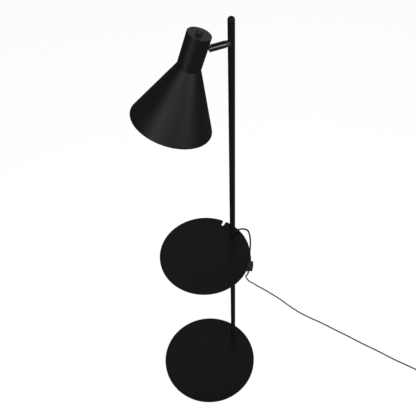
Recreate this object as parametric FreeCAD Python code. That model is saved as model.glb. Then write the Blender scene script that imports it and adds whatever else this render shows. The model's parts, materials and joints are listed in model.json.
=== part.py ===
import FreeCAD, Part
import math
import os

from FreeCAD import Placement, Rotation, Vector

# A floor lamp with a tray: base plate, two lengths of pole that grip a tray, a short arm with a friction
# knuckle, and a cone shade. Millimetres and degrees. The origin is the centre of the base on the floor,
# the front is -Y and the pole stands behind the centre.

# Stand
base_diameter = 320.0
base_thickness = 6.0
base_edge = 0.5
pad_thickness = 2.0
pad_rim = 2.0
pad_hole = 20.0
pole_inset = 43.0
tube_diameter = 15.0
tube_wall = 1.0
total_height = 1434.5
seat_gap = 0.05

# Bolt and threaded inserts of the lower pole
bolt_diameter = 8.0
bolt_head_diameter = 16.0
bolt_head_height = 4.0
bolt_reach = 18.0
bolt_socket_width = 5.0
bolt_socket_depth = 3.0
insert_length = 22.0

# Tray and the coupling that grips it
tray_diameter = 251.0
tray_thickness = 3.0
tray_edge = 0.35
tray_top = 696.0
tray_behind_pole = 20.5
slot_angle = 21.3
slot_width = 7.4
slot_depth = 16.5
slot_mouth_radius = 4.5
stud_diameter = 10.0
stud_length = 20.0
coupling_height = 26.0
coupling_bore = 7.0

# Upper pole: turned about its own axis, with the cord's hole at the back and the arm in front
pole_turn = 21.0
exit_above_tray = 7.0
exit_hole = 7.6
dome_height = 7.6
cap_plug_length = 12.0

# Cord relief, cord and wires
cord_diameter = 4.8
relief_reach = 17.0
relief_tip = 6.4
relief_flange = 10.0
relief_flange_thickness = 1.6
relief_root = 4.5
wire_diameter = 2.0
wire_spacing = 2.2
wire_bend = 4.0

# Arm: barrel nut in the pole, nipple, root collar, forked barrel and pin
arm_below_dome = 54.7
arm_roll = -3.5
arm_hole = 8.4
barrel_nut_height = 18.0
nipple_diameter = 8.0
nipple_bore = 5.2
nipple_length = 24.0
nipple_start = 3.0
collar_diameter = 13.4
collar_end = 12.5
barrel_diameter = 15.0
barrel_end = 48.5
barrel_edge = 0.6
fork_slot = 5.4
fork_depth = 11.0
pin_reach = 43.5
pin_diameter = 4.0
pin_play = 0.04
washer_thickness = 0.5
washer_diameter = 10.0

# Head, in its own frame: the pin at the origin, the neck's axis upright in front of it
head_tilt = 21.3
tongue_radius = 5.5
tongue_height = 8.0
tongue_shoulder = 11.0
shoulder_thickness = 1.5
neck_offset = 35.1
neck_radius = 25.8
neck_wall = 1.0
neck_above = 30.1
neck_below = 45.4
neck_hole = 8.3
stub_reach = 20.0
stub_bore = 4.6
cap_thickness = 1.4
cap_edge = 0.8
cap_skirt = 6.0
cap_skirt_wall = 0.9

# Cone shade
cone_height = 140.0
cone_radius = 91.4
cone_wall = 0.9
cone_spigot = 8.0
cone_lip = 1.0

# Nut, washer and bracket at the knuckle
knuckle_washer_diameter = 14.0
knuckle_washer_thickness = 1.4
knuckle_nut_across = 12.0
knuckle_nut_height = 3.5
bracket_thickness = 1.5
bracket_width = 16.0
bracket_rise = 8.0
bracket_drop = 14.0
bracket_nose = 9.0

# Rotary switch and its knob
switch_hole = 9.2
switch_radius = 13.0
switch_height = 15.0
switch_gap = 1.0
switch_neck_diameter = 9.0
switch_neck_above = 1.7
ring_nut_diameter = 11.4
ring_nut_thickness = 1.3
shaft_diameter = 6.0
shaft_flat = 1.2
shaft_above = 4.3
shaft_below = 4.0
shaft_play = 0.06
knob_base_diameter = 14.4
knob_top_diameter = 13.2
knob_height = 7.6
knob_lift = 0.3
knob_recess_diameter = 12.0
knob_recess_depth = 1.9
knob_flutes = 12
knob_flute_radius = 0.9
knob_edge = 1.2

# Lampholder and bulb
holder_nipple_diameter = 10.0
holder_nipple_bore = 7.5
holder_nipple_above = 5.0
holder_nipple_below = 8.0
holder_nut_across = 13.0
holder_nut_height = 3.0
dome_radius = 15.0
dome_length = 16.0
skirt_radius = 14.2
skirt_length = 26.0
holder_wall = 1.6
socket_radius = 7.4
socket_wall = 0.5
socket_length = 17.0
contact_radius = 2.5
contact_length = 4.0
bulb_cap_radius = 6.8
bulb_cap_length = 19.0
bulb_neck_radius = 9.0
bulb_radius = 22.5
bulb_length = 57.0
bulb_wall = 0.8

# In-line switch, in its own frame: the cord along X, the rocker on +Z
block_length = 64.0
block_body = 46.0
block_width = 22.0
block_thickness = 16.0
block_corner = 5.0
block_neck_diameter = 8.0
block_tip_diameter = 6.0
block_wall = 1.6
rocker_length = 18.0
rocker_width = 9.0
rocker_gap = 0.5
rocker_rise = 1.6
rocker_depth = 5.0
rocker_axle = 2.4
rocker_axle_play = 0.06
rocker_tilt = 7.0
block_screw_diameter = 2.6
block_screw_head = 4.6
block_screw_depth = 12.0
block_screw_inset = 6.0
terminal_length = 8.0
terminal_width = 5.0
terminal_height = 4.0
terminal_reach = 9.0
terminal_spread = 5.0

# Plug
plug_width = 26.0
plug_tip_width = 35.0
plug_thickness = 13.7
plug_length = 36.0
plug_corner = 4.0
plug_relief_length = 24.0
plug_relief_root = 9.0
plug_relief_tip = 6.2
pin_spacing = 19.0
plug_pin_diameter = 4.0
plug_pin_length = 19.0
plug_pin_root = 8.0
plug_pin_root_diameter = 3.0
plug_pin_tip = 0.8

# Coil of the cord's unseen length, wound in two layers on the floor
coil_turns_in = 1.25
coil_turns_out = 1.5
coil_climb = 0.5
coil_step = 0.25
coil_inner_radius = 22.5
coil_pitch = 6.2
coil_layer_rise = 5.3
coil_tail_straight = 5.0
coil_tail_drop = 0.03
tie_width = 9.0
tie_wall = 0.8
tie_clearance = 0.3

# The cord's route, chosen by hand: from the relief to the in-line switch, in places and drops below the exit
upper_route = [
    (16.1, 159.0, 7.6),
    (19.2, 166.9, 21.5),
    (21.0, 171.6, 43.0),
    (21.3, 172.5, 73.0),
    (20.6, 170.7, 111.0),
    (19.9, 168.3, 147.0),
]
exit_run = 15.0
block_run = 24.0
block_place = (20.4, 171.3, 197.8)
block_direction = Vector(-0.126, 0.042, -0.991)
block_facing = Vector(0.72, -0.69, 0.0)

# From the switch down to the floor, and over the floor to the coil
lower_route = [
    (-5.5, 190.0, 388.0),
    (-26.5, 213.5, 333.0),
    (-50.5, 235.5, 279.0),
    (-73.5, 260.5, 221.0),
    (-98.5, 282.5, 161.0),
    (-120.5, 305.5, 104.0),
    (-134.6, 317.5, 63.5),
    (-149.7, 323.8, 38.8),
    (-146.8, 324.9, 18.3),
    (-132.7, 327.9, 4.9),
    (-115.0, 336.1, 2.6),
    (-97.0, 338.0, 2.6),
    (-75.0, 345.5, 2.6),
    (-46.0, 351.5, 2.6),
    (0.0, 361.5, 2.6),
    (46.0, 366.0, 2.6),
    (90.0, 373.5, 2.6),
    (133.0, 386.5, 2.6),
    (178.0, 403.5, 2.6),
    (227.0, 417.5, 2.6),
    (279.0, 434.5, 2.6),
    (334.0, 449.5, 2.6),
    (389.0, 468.5, 2.6),
    (444.0, 483.5, 2.6),
    (492.0, 500.5, 3.2),
    (529.0, 513.0, 4.0),
]
coil_lead_run = 34.0
coil_heading = 16.0

# Ratios and directions
turn_share = 0.45
half_share = 0.5
X_AXIS = Vector(1, 0, 0)
Y_AXIS = Vector(0, 1, 0)
Z_AXIS = Vector(0, 0, 1)
ORIGIN = Vector(0, 0, 0)
DOWN = Vector(0, 0, -1)

tube_radius = tube_diameter / 2
tube_bore = tube_radius - tube_wall
base_top = pad_thickness + base_thickness
base_radius = base_diameter / 2
pole_y = base_radius - pole_inset
tray_radius = tray_diameter / 2
tray_y = pole_y + tray_behind_pole - tray_radius
tray_underside = tray_top - tray_thickness
tube_top = total_height - dome_height
arm_height = tube_top - arm_below_dome
exit_height = tray_top + exit_above_tray
cord_radius = cord_diameter / 2
neck_bore = neck_radius - neck_wall

STAND = Placement(Vector(0, pole_y, 0), Rotation())
UPPER = STAND.multiply(Placement(ORIGIN, Rotation(Z_AXIS, -pole_turn)))
ARM_ROOT = UPPER.multiply(Placement(Vector(0, 0, arm_height), Rotation()))
ARM = ARM_ROOT.multiply(Placement(ORIGIN, Rotation(Y_AXIS, arm_roll)))
HEAD = ARM.multiply(Placement(Vector(0, -pin_reach, 0), Rotation(X_AXIS, -head_tilt)))
NECK = HEAD.multiply(Placement(Vector(0, -neck_offset, 0), Rotation()))


def rod(radius, start, end, axis=Z_AXIS, foot=ORIGIN):
    """A solid cylinder along an axis, between two distances from its foot."""
    return Part.makeCylinder(radius, end - start, foot + axis * start, axis)


def pipe(outer, inner, start, end, axis=Z_AXIS, foot=ORIGIN):
    """A cylinder with a bore."""
    return rod(outer, start, end, axis, foot).cut(rod(inner, start, end, axis, foot))


def turned(profile):
    """A body of revolution about Z from a closed outline of radius and height."""
    points = [Vector(radius, 0, height) for radius, height in profile]
    outline = Part.makePolygon(points + points[:1])
    return Part.Face(outline).revolve(ORIGIN, Z_AXIS, 360)


def hexagon(across, start, end, axis=Z_AXIS, foot=ORIGIN):
    """A six-sided prism, given by its width across the flats."""
    corner = across / math.sqrt(3)
    points = [Vector(corner, 0, 0)]
    for step in range(1, 7):
        points.append(Rotation(Z_AXIS, 60 * step).multVec(Vector(corner, 0, 0)))
    points[-1] = points[0]
    prism = Part.Face(Part.makePolygon(points)).extrude(Vector(0, 0, end - start))
    prism.Placement = Placement(foot + axis * start, Rotation(Z_AXIS, axis))
    return prism


def box_between(low, high):
    """A box given by two opposite corners."""
    size = high - low
    return Part.makeBox(size.x, size.y, size.z, low)


def edges_at(shape, test):
    """The edges whose middle point passes a test."""
    return [edge for edge in shape.Edges if test(edge.CenterOfMass)]


def placed(shape, placement):
    """A copy of a shape, moved as a rigid body."""
    moved = shape.copy()
    moved.Placement = placement.multiply(moved.Placement)
    return moved


def save(name, shape):
    """Write one node and say how large it is."""
    solids = shape.Solids
    body = solids[0] if len(solids) == 1 else Part.makeCompound(solids)
    body.exportStep("parts/" + name + ".step")
    print(name, len(solids), "solid(s)", round(body.Volume / 1000, 2), "cm3", body.isValid())
    return body


def path_along(points, widest=math.inf):
    """Straight runs joined by tangent arcs, and the radii of the arcs."""
    edges = []
    radii = []
    start = points[0]
    for before, corner, after in zip(points, points[1:], points[2:]):
        arriving = corner - before
        leaving = after - corner
        shorter = min(arriving.Length, leaving.Length)
        turn = arriving.getAngle(leaving)
        arriving.normalize()
        leaving.normalize()
        trim = min(turn_share * shorter, widest)
        radius = trim / math.tan(turn / 2)
        first = corner - arriving * trim
        last = corner + leaving * trim
        inward = (leaving - arriving).normalize()
        middle = corner + inward * (radius / math.cos(turn / 2) - radius)
        edges.append(Part.LineSegment(start, first).toShape())
        edges.append(Part.Arc(first, middle, last).toShape())
        radii.append(radius)
        start = last
    edges.append(Part.LineSegment(start, points[-1]).toShape())
    return Part.Wire(edges), radii


def tube_along(wire, start, heading, radius):
    """A round solid swept along a path."""
    section = Part.Wire([Part.Circle(start, heading, radius).toShape()])
    return wire.makePipeShell([section], True, False)


def cord_tube(name, points):
    """A stretch of cord, with its radii and its volume compared with its section times its length."""
    wire, radii = path_along(points)
    solid = tube_along(wire, points[0], points[1] - points[0], cord_radius)
    section = math.pi * cord_radius * cord_radius
    print(name, "length", round(wire.Length, 1), "volume ratio", round(solid.Volume / section / wire.Length, 4))
    print(name, "radii", [round(radius, 1) for radius in radii])
    return solid, wire.Length


def base_disc():
    disc = rod(base_radius, pad_thickness, base_top)
    disc = disc.makeChamfer(base_edge, edges_at(disc, lambda middle: middle.z > pad_thickness + seat_gap))
    foot = Vector(0, pole_y, 0)
    sink = Part.makeCone(bolt_head_diameter / 2, bolt_diameter / 2, bolt_head_height,
                         foot + Z_AXIS * pad_thickness, Z_AXIS)
    hole = rod(bolt_diameter / 2 + seat_gap, pad_thickness, base_top, Z_AXIS, foot)
    return disc.cut(sink).cut(hole)


def base_pad():
    pad = rod(base_radius - pad_rim, 0, pad_thickness)
    return pad.cut(rod(pad_hole / 2, 0, pad_thickness, Z_AXIS, Vector(0, pole_y, 0)))


def base_bolt():
    head_top = pad_thickness + bolt_head_height
    head = Part.makeCone(bolt_head_diameter / 2 - seat_gap, bolt_diameter / 2 - seat_gap, bolt_head_height,
                         Z_AXIS * pad_thickness, Z_AXIS)
    shank = rod(bolt_diameter / 2 - seat_gap, head_top, base_top + bolt_reach)
    socket = hexagon(bolt_socket_width, pad_thickness, pad_thickness + bolt_socket_depth)
    return placed(head.fuse(shank).cut(socket).removeSplitter(), STAND)


def threaded_insert(start, end, bore):
    return placed(pipe(tube_bore - seat_gap, bore, start, end), STAND)


def lower_pole():
    return placed(pipe(tube_radius, tube_bore, base_top, tray_underside), STAND)


def tray_disc():
    """A thin plate with an open slot in its rim, round at its inner end and eased at its mouth."""
    plate = rod(tray_radius, tray_underside, tray_top)
    half = slot_width / 2
    inner = tray_radius - slot_depth
    floor_z = tray_underside - tray_thickness
    height = 3 * tray_thickness
    throat = Part.makeBox(slot_width, slot_depth, height, Vector(-half, inner + half, floor_z))
    end = Part.makeCylinder(half, height, Vector(0, inner + half, floor_z), Z_AXIS)
    slot = throat.fuse(end)
    # The mouth's easings are what lies outside two circles tangent to the rim and to the slot's sides
    reach = tray_radius - slot_mouth_radius
    side = half + slot_mouth_radius
    centre_y = math.sqrt(reach * reach - side * side)
    outer_share = tray_radius / reach
    for sign in (-1, 1):
        centre = Vector(sign * side, centre_y, floor_z)
        touch = Vector(sign * side * outer_share, centre_y * outer_share, floor_z)
        wedge = Part.Face(Part.makePolygon([
            Vector(0, centre_y, floor_z), centre, touch, Vector(0, tray_radius + tray_thickness, floor_z),
            Vector(0, centre_y, floor_z)])).extrude(Vector(0, 0, height))
        round_off = Part.makeCylinder(slot_mouth_radius, height, centre, Z_AXIS)
        slot = slot.fuse(wedge.cut(round_off))
    plate = plate.cut(slot.removeSplitter().copy())
    rims = [edge for edge in plate.Edges
            if abs(edge.CenterOfMass.z - tray_top) < seat_gap or abs(edge.CenterOfMass.z - tray_underside) < seat_gap]
    plate = plate.makeChamfer(tray_edge, rims)
    plate.rotate(ORIGIN, Z_AXIS, slot_angle)
    plate.translate(Vector(0, tray_y, 0))
    return plate.cut(rod(stud_diameter / 2 + seat_gap, floor_z, tray_top, Z_AXIS, Vector(0, pole_y, 0)))


def pole_coupling():
    """A stud below the tray and a bored plug above it, cross-drilled where the lead turns upwards."""
    stud = rod(stud_diameter / 2 - seat_gap, tray_top - stud_length, tray_top)
    plug = rod(tube_bore - seat_gap, tray_top, tray_top + coupling_height)
    bore = rod(coupling_bore / 2, exit_height - coupling_bore / 2, tray_top + coupling_height)
    cross = rod(exit_hole / 2, 0, tube_radius, Y_AXIS, Z_AXIS * exit_height)
    return placed(stud.fuse(plug).cut(bore).cut(cross).removeSplitter(), UPPER)


def upper_pole():
    tube = pipe(tube_radius, tube_bore, tray_top, tube_top)
    cord_hole = rod(exit_hole / 2, 0, tube_diameter, Y_AXIS, Z_AXIS * exit_height)
    arm_bore = rod(arm_hole / 2, 0, tube_diameter, -Y_AXIS, Z_AXIS * arm_height)
    return placed(tube.cut(cord_hole).cut(arm_bore), UPPER)


def pole_end_cap():
    """A shallow dome on a plug that presses into the tube."""
    dome = Part.makeSphere(tube_radius, Z_AXIS * tube_top, Z_AXIS, 0, 90, 360)
    stretch = FreeCAD.Matrix()
    stretch.scale(Vector(1, 1, dome_height / tube_radius))
    dome.translate(-Z_AXIS * tube_top)
    dome = dome.transformGeometry(stretch)
    dome.translate(Z_AXIS * tube_top)
    plug = rod(tube_bore - seat_gap, tube_top - cap_plug_length, tube_top)
    return placed(dome.fuse(plug).removeSplitter(), UPPER)


def cord_relief():
    """A tapered rubber sleeve round the lead, with a flange that hugs the pole."""
    centre = Z_AXIS * exit_height
    flange_end = tube_radius + relief_flange_thickness
    spigot = rod(exit_hole / 2 - seat_gap, relief_root, flange_end, Y_AXIS, centre)
    flange = rod(relief_flange / 2, relief_root, flange_end, Y_AXIS, centre)
    flange = flange.cut(rod(tube_radius + seat_gap, 0, total_height))
    taper = Part.makeCone(exit_hole / 2 - seat_gap, relief_tip / 2, relief_reach - flange_end,
                          centre + Y_AXIS * flange_end, Y_AXIS)
    sleeve = spigot.fuse(flange).fuse(taper)
    return placed(sleeve.cut(rod(cord_radius + seat_gap, 0, relief_reach, Y_AXIS, centre)), UPPER)


def lead_tail():
    return placed(rod(cord_radius, relief_root, relief_reach, Y_AXIS, Z_AXIS * exit_height), UPPER)


def wire_pair(points, placement):
    """Two wires side by side along the same route, apart in X."""
    wires = []
    for sign in (-1, 1):
        shift = Vector(sign * wire_spacing / 2, 0, 0)
        moved = [point + shift for point in points]
        path, radii = path_along(moved, wire_bend)
        wires.append(tube_along(path, moved[0], moved[1] - moved[0], wire_diameter / 2))
    return placed(Part.makeCompound(wires), placement)


def pole_wires():
    """From the lead's tail, up the pole, and forwards into the arm."""
    points = [Vector(0, relief_root - seat_gap, exit_height),
              Vector(0, 0, exit_height),
              Vector(0, 0, arm_height),
              Vector(0, nipple_start - nipple_length, arm_height)]
    return wire_pair(points, UPPER)


def pole_barrel_nut():
    half = barrel_nut_height / 2
    nut = rod(tube_bore - seat_gap, arm_height - half, arm_height + half)
    cross = rod(nipple_diameter / 2 + seat_gap, 0, tube_radius, -Y_AXIS, Z_AXIS * arm_height)
    back = rod(nipple_diameter / 2 + seat_gap, 0, nipple_start, Y_AXIS, Z_AXIS * arm_height)
    rise = rod(nipple_bore / 2, arm_height - half, arm_height)
    return placed(nut.cut(cross).cut(back).cut(rise), UPPER)


def arm_nipple():
    nipple = pipe(nipple_diameter / 2, nipple_bore / 2, -nipple_start, nipple_length - nipple_start, -Y_AXIS)
    entry = rod(nipple_bore / 2, -barrel_nut_height, 0)
    return placed(nipple.cut(entry), ARM_ROOT)


def arm_collar():
    collar = pipe(collar_diameter / 2, nipple_diameter / 2 + seat_gap, 0, collar_end, -Y_AXIS)
    pole = rod(tube_radius + seat_gap, -tube_diameter, tube_diameter)
    return placed(collar.cut(pole), ARM_ROOT)


def arm_barrel():
    """The glossy arm: a bored cylinder whose end is slotted into a fork for the head's tongue."""
    barrel = rod(barrel_diameter / 2, collar_end, barrel_end, -Y_AXIS)
    barrel = barrel.makeChamfer(barrel_edge, barrel.Edges[:1] + barrel.Edges[2:])
    thread = rod(nipple_diameter / 2 + seat_gap, collar_end, nipple_length - nipple_start, -Y_AXIS)
    wire_way = rod(nipple_bore / 2, collar_end, barrel_end, -Y_AXIS)
    slot = box_between(Vector(-fork_slot / 2, -barrel_end - barrel_edge, -barrel_diameter),
                       Vector(fork_slot / 2, fork_depth - barrel_end, barrel_diameter))
    hole = rod(pin_diameter / 2 + seat_gap, -barrel_diameter, barrel_diameter, X_AXIS, -Y_AXIS * pin_reach)
    return placed(barrel.cut(thread).cut(wire_way).cut(slot).cut(hole), ARM)


def hinge_pin():
    reach = math.sqrt(barrel_diameter * barrel_diameter - pin_diameter * pin_diameter) / 2
    return placed(rod(pin_diameter / 2, -reach, reach, X_AXIS, -Y_AXIS * pin_reach), ARM)


def friction_washers():
    washers = []
    outer = fork_slot / 2 - seat_gap
    for sign in (-1, 1):
        axis = X_AXIS * sign
        washers.append(pipe(washer_diameter / 2, pin_diameter / 2 + seat_gap, outer - washer_thickness, outer,
                            axis, -Y_AXIS * pin_reach))
    return placed(Part.makeCompound(washers), ARM)


def knuckle_tongue():
    """A flat eye in the fork, a shoulder that seats on the neck, and a hollow thread through its wall."""
    half = fork_slot / 2 - washer_thickness - 2 * seat_gap
    wall = neck_offset - neck_radius
    eye = rod(tongue_radius, -half, half, X_AXIS)
    web = box_between(Vector(-half, -wall, -tongue_height / 2), Vector(half, 0, tongue_height / 2))
    shoulder = box_between(Vector(-half, -wall - shoulder_thickness, -tongue_shoulder / 2),
                           Vector(half, shoulder_thickness - wall, tongue_shoulder / 2))
    neck = rod(neck_radius, -neck_above, neck_below, Z_AXIS, -Y_AXIS * neck_offset)
    thread = rod(nipple_diameter / 2, wall, stub_reach, -Y_AXIS)
    tongue = eye.fuse(web).fuse(shoulder.cut(neck)).fuse(thread)
    tongue = tongue.cut(rod(stub_bore / 2, wall, stub_reach, -Y_AXIS))
    tongue = tongue.cut(rod(pin_diameter / 2 + pin_play, -fork_slot, fork_slot, X_AXIS))
    return placed(tongue.removeSplitter(), HEAD)


def stub_distance(radius):
    """How far from the pin a plane lies that touches the neck's inside at a given radius."""
    return neck_offset - radius


def knuckle_washer():
    """A saddle washer: round outside like the neck's bore, flat inside for the nut."""
    inner = neck_bore - bracket_thickness
    flat = stub_distance(math.sqrt(inner * inner - knuckle_washer_diameter * knuckle_washer_diameter / 4)) \
        + knuckle_washer_thickness
    puck = pipe(knuckle_washer_diameter / 2, nipple_diameter / 2 + seat_gap, stub_distance(inner), flat, -Y_AXIS)
    bore = rod(inner - seat_gap, -neck_above, neck_below, Z_AXIS, -Y_AXIS * neck_offset)
    return placed(puck.common(bore), HEAD), flat


def knuckle_nut(seat):
    nut = hexagon(knuckle_nut_across, seat, seat + knuckle_nut_height, -Y_AXIS)
    return placed(nut.cut(rod(nipple_diameter / 2 + seat_gap, seat, seat + knuckle_nut_height, -Y_AXIS)), HEAD)


def holder_bracket():
    """An angle bracket: a curved leg against the neck's wall and a flat leg that carries the lampholder."""
    outer = neck_bore - seat_gap
    ring = pipe(outer, neck_bore - bracket_thickness, -bracket_drop, bracket_rise)
    window = box_between(Vector(-bracket_width / 2, 0, -bracket_drop),
                         Vector(bracket_width / 2, neck_radius, bracket_rise))
    leg = ring.common(window)
    shelf_z = -bracket_drop
    shelf = box_between(Vector(-bracket_width / 2, 0, shelf_z),
                        Vector(bracket_width / 2, neck_radius, shelf_z + bracket_thickness))
    nose = rod(bracket_nose, shelf_z, shelf_z + bracket_thickness)
    shelf = shelf.fuse(nose).common(rod(outer, shelf_z, shelf_z + bracket_thickness))
    hole = rod(holder_nipple_diameter / 2 + seat_gap, shelf_z, shelf_z + bracket_thickness)
    stub = rod(nipple_diameter / 2 + seat_gap, 0, neck_radius, Y_AXIS)
    return placed(leg.fuse(shelf).cut(hole).cut(stub).removeSplitter(), NECK)


def neck_shell():
    shell = pipe(neck_radius, neck_bore, -neck_below, neck_above - cap_thickness)
    return placed(shell.cut(rod(neck_hole / 2, 0, neck_radius, Y_AXIS)), NECK)


def neck_cap():
    """The flat lid, with its edge eased and a skirt that seats inside the neck."""
    under = neck_above - cap_thickness
    outer = neck_bore - seat_gap
    lid = turned([(switch_hole / 2, under), (switch_hole / 2, neck_above),
                  (neck_radius - cap_edge, neck_above), (neck_radius, neck_above - cap_edge),
                  (neck_radius, under), (outer, under), (outer, under - cap_skirt),
                  (outer - cap_skirt_wall, under - cap_skirt), (outer - cap_skirt_wall, under)])
    return placed(lid, NECK)


def cone_shade():
    """A spun cone: a spigot inside the neck, a straight flare and a lip turned in at the mouth."""
    seam = -neck_below
    rim = seam - cone_height
    spigot = neck_bore - seat_gap
    slope = (cone_radius - neck_radius) / cone_height
    slant_share = math.sqrt(1 + slope * slope)
    wall = cone_wall * slant_share
    lip_top = rim + cone_lip
    outline = [(spigot, seam + cone_spigot), (spigot, seam), (neck_radius, seam), (cone_radius, rim),
               (cone_radius - wall - cone_lip, rim), (cone_radius - wall - cone_lip, lip_top),
               (cone_radius - wall - slope * cone_lip, lip_top),
               (spigot - cone_wall, seam - (spigot - cone_wall - neck_radius + wall) / slope),
               (spigot - cone_wall, seam + cone_spigot)]
    return placed(turned(outline), NECK)


def rotary_switch_body():
    top = neck_above - cap_thickness - switch_gap
    bottom = top - switch_height
    case = rod(switch_radius, bottom, top)
    case = case.makeFillet(cap_edge, edges_at(case, lambda middle: middle.z < bottom + seat_gap))
    collar = rod(ring_nut_diameter / 2, top, top + switch_gap)
    neck = rod(switch_neck_diameter / 2, top, neck_above + switch_neck_above)
    bore = rod(shaft_diameter / 2 + shaft_play, bottom + shaft_below, neck_above + switch_neck_above)
    return placed(case.fuse(collar).fuse(neck).cut(bore).removeSplitter(), NECK)


def switch_ring_nut():
    nut = pipe(ring_nut_diameter / 2, switch_neck_diameter / 2 + seat_gap, neck_above, neck_above + ring_nut_thickness)
    return placed(nut, NECK)


def switch_shaft():
    bottom = neck_above - cap_thickness - switch_gap - switch_height + shaft_below + knob_lift
    top = neck_above + switch_neck_above + shaft_above
    shaft = rod(shaft_diameter / 2, bottom, top)
    flat_start = neck_above + knob_lift + knob_recess_depth
    flat = box_between(Vector(shaft_diameter / 2 - shaft_flat, -shaft_diameter, flat_start),
                       Vector(shaft_diameter, shaft_diameter, top))
    return placed(shaft.cut(flat), NECK)


def switch_knob():
    """A low knob with fluted sides, a recess over the ring nut and a bore with a flat for the shaft."""
    bottom = neck_above + knob_lift
    knob = Part.makeCone(knob_base_diameter / 2, knob_top_diameter / 2, knob_height, Z_AXIS * bottom, Z_AXIS)
    top = bottom + knob_height
    knob = knob.makeFillet(knob_edge, edges_at(knob, lambda middle: middle.z > top - seat_gap))
    for step in range(knob_flutes):
        turn = Rotation(Z_AXIS, 360 * step / knob_flutes)
        low = turn.multVec(Vector(knob_base_diameter / 2 + knob_flute_radius * half_share, 0, bottom + knob_edge))
        high = turn.multVec(Vector(knob_top_diameter / 2 + knob_flute_radius * half_share, 0, top + knob_edge))
        knob = knob.cut(Part.makeCylinder(knob_flute_radius, (high - low).Length, low, high - low))
    recess_top = bottom + knob_recess_depth
    recess = rod(knob_recess_diameter / 2, bottom, recess_top)
    bore = rod(shaft_diameter / 2 + seat_gap, bottom, neck_above + switch_neck_above + shaft_above + seat_gap)
    flat = box_between(Vector(shaft_diameter / 2 - shaft_flat + seat_gap, -shaft_diameter, recess_top),
                       Vector(shaft_diameter, shaft_diameter, top))
    return placed(knob.cut(bore.cut(flat)).cut(recess), NECK)


def holder_parts():
    """The nipple, its nut, the two halves of the lampholder, the socket shell and the centre contact."""
    shelf = -bracket_drop
    dome_top = shelf
    dome_end = dome_top - dome_length
    skirt_end = dome_end - skirt_length
    nipple_top = shelf + bracket_thickness + holder_nipple_above
    nipple_bottom = shelf - holder_nipple_below
    nipple = pipe(holder_nipple_diameter / 2, holder_nipple_bore / 2, nipple_bottom, nipple_top)
    nut_start = shelf + bracket_thickness
    nut = hexagon(holder_nut_across, nut_start, nut_start + holder_nut_height)
    nut = nut.cut(rod(holder_nipple_diameter / 2 + seat_gap, nut_start, nut_start + holder_nut_height))
    inner = dome_radius - holder_wall
    dome = turned([(holder_nipple_diameter / 2 + seat_gap, dome_top), (dome_radius - holder_wall * 2, dome_top),
                   (dome_radius, dome_top - holder_wall * 2), (dome_radius, dome_end), (inner, dome_end),
                   (inner, dome_top - holder_wall * 2), (holder_nipple_diameter / 2 + seat_gap, nipple_bottom)])
    skirt_inner = socket_radius + socket_wall + seat_gap
    skirt_floor = skirt_end + socket_length
    skirt = turned([(0, dome_end + holder_wall), (inner - seat_gap, dome_end + holder_wall),
                    (inner - seat_gap, dome_end), (skirt_radius, dome_end), (skirt_radius, skirt_end),
                    (skirt_inner, skirt_end), (skirt_inner, skirt_floor), (contact_radius + seat_gap, skirt_floor),
                    (contact_radius + seat_gap, skirt_floor + contact_length),
                    (0, skirt_floor + contact_length)])
    shell = pipe(socket_radius + socket_wall, socket_radius, skirt_end + socket_wall, skirt_floor)
    contact = rod(contact_radius, skirt_floor + seat_gap, skirt_floor + contact_length)
    places = {"holder_nipple": nipple, "nipple_nut": nut, "lampholder_dome": dome, "lampholder_skirt": skirt,
              "lamp_socket_shell": shell, "centre_contact": contact}
    return {name: placed(shape, NECK) for name, shape in places.items()}, skirt_floor


def globe_points(radius, top, waist, top_z, middle):
    """The corners of a round bulb's outline: its open top, its waist, where the ball starts, its side and tip."""
    rise = math.sqrt(radius * radius - 4 * waist * waist)
    side = Rotation(Y_AXIS, 20).multVec(X_AXIS * radius)
    return [Vector(top, 0, top_z), Vector(waist, 0, top_z - waist * half_share), Vector(2 * waist, 0, middle.z + rise),
            middle + side, middle - Z_AXIS * radius]


def bulb_parts(seat):
    """The screw cap, up to the contact, and the round glass below it."""
    cap_end = seat - bulb_cap_length
    cap = turned([(0, seat), (contact_radius, seat), (bulb_cap_radius, seat - contact_radius),
                  (bulb_cap_radius, cap_end), (0, cap_end)])
    middle = Z_AXIS * (cap_end - bulb_length + bulb_radius)
    outside = globe_points(bulb_radius, bulb_cap_radius, bulb_neck_radius, cap_end, middle)
    inside = globe_points(bulb_radius - bulb_wall, bulb_cap_radius - bulb_wall, bulb_neck_radius - bulb_wall,
                          cap_end, middle)
    edges = [Part.LineSegment(inside[0], outside[0]).toShape()]
    for points in (outside, inside):
        edges.append(Part.LineSegment(points[0], points[1]).toShape())
        edges.append(Part.LineSegment(points[1], points[2]).toShape())
        edges.append(Part.Arc(points[2], points[3], points[4]).toShape())
    edges.append(Part.LineSegment(outside[4], inside[4]).toShape())
    outline = Part.Wire(Part.__sortEdges__(edges))
    globe = Part.Face(outline).revolve(ORIGIN, Z_AXIS, 360)
    return placed(cap, NECK), placed(globe, NECK)


def head_wires():
    """From the knuckle's hollow thread down beside the lampholder's nipple."""
    reach = neck_offset - stub_reach
    points = [Vector(0, reach + wire_diameter, 0),
              Vector(0, 0, 0),
              Vector(0, 0, -bracket_drop - holder_nipple_below)]
    return wire_pair(points, NECK)


def below_exit(place):
    """A point of the hanging cord, given by its place and its drop below the exit."""
    return Vector(place[0], place[1], exit_height - place[2])


def block_placement():
    """The in-line switch hangs along the cord and faces the front right."""
    along = Vector(block_direction).normalize()
    facing = block_facing - along * block_facing.dot(along)
    facing.normalize()
    across = facing.cross(along)
    rotation = Rotation(along, across, facing, "XZY")
    return Placement(below_exit(block_place) + along * (block_length / 2), rotation), along


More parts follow.
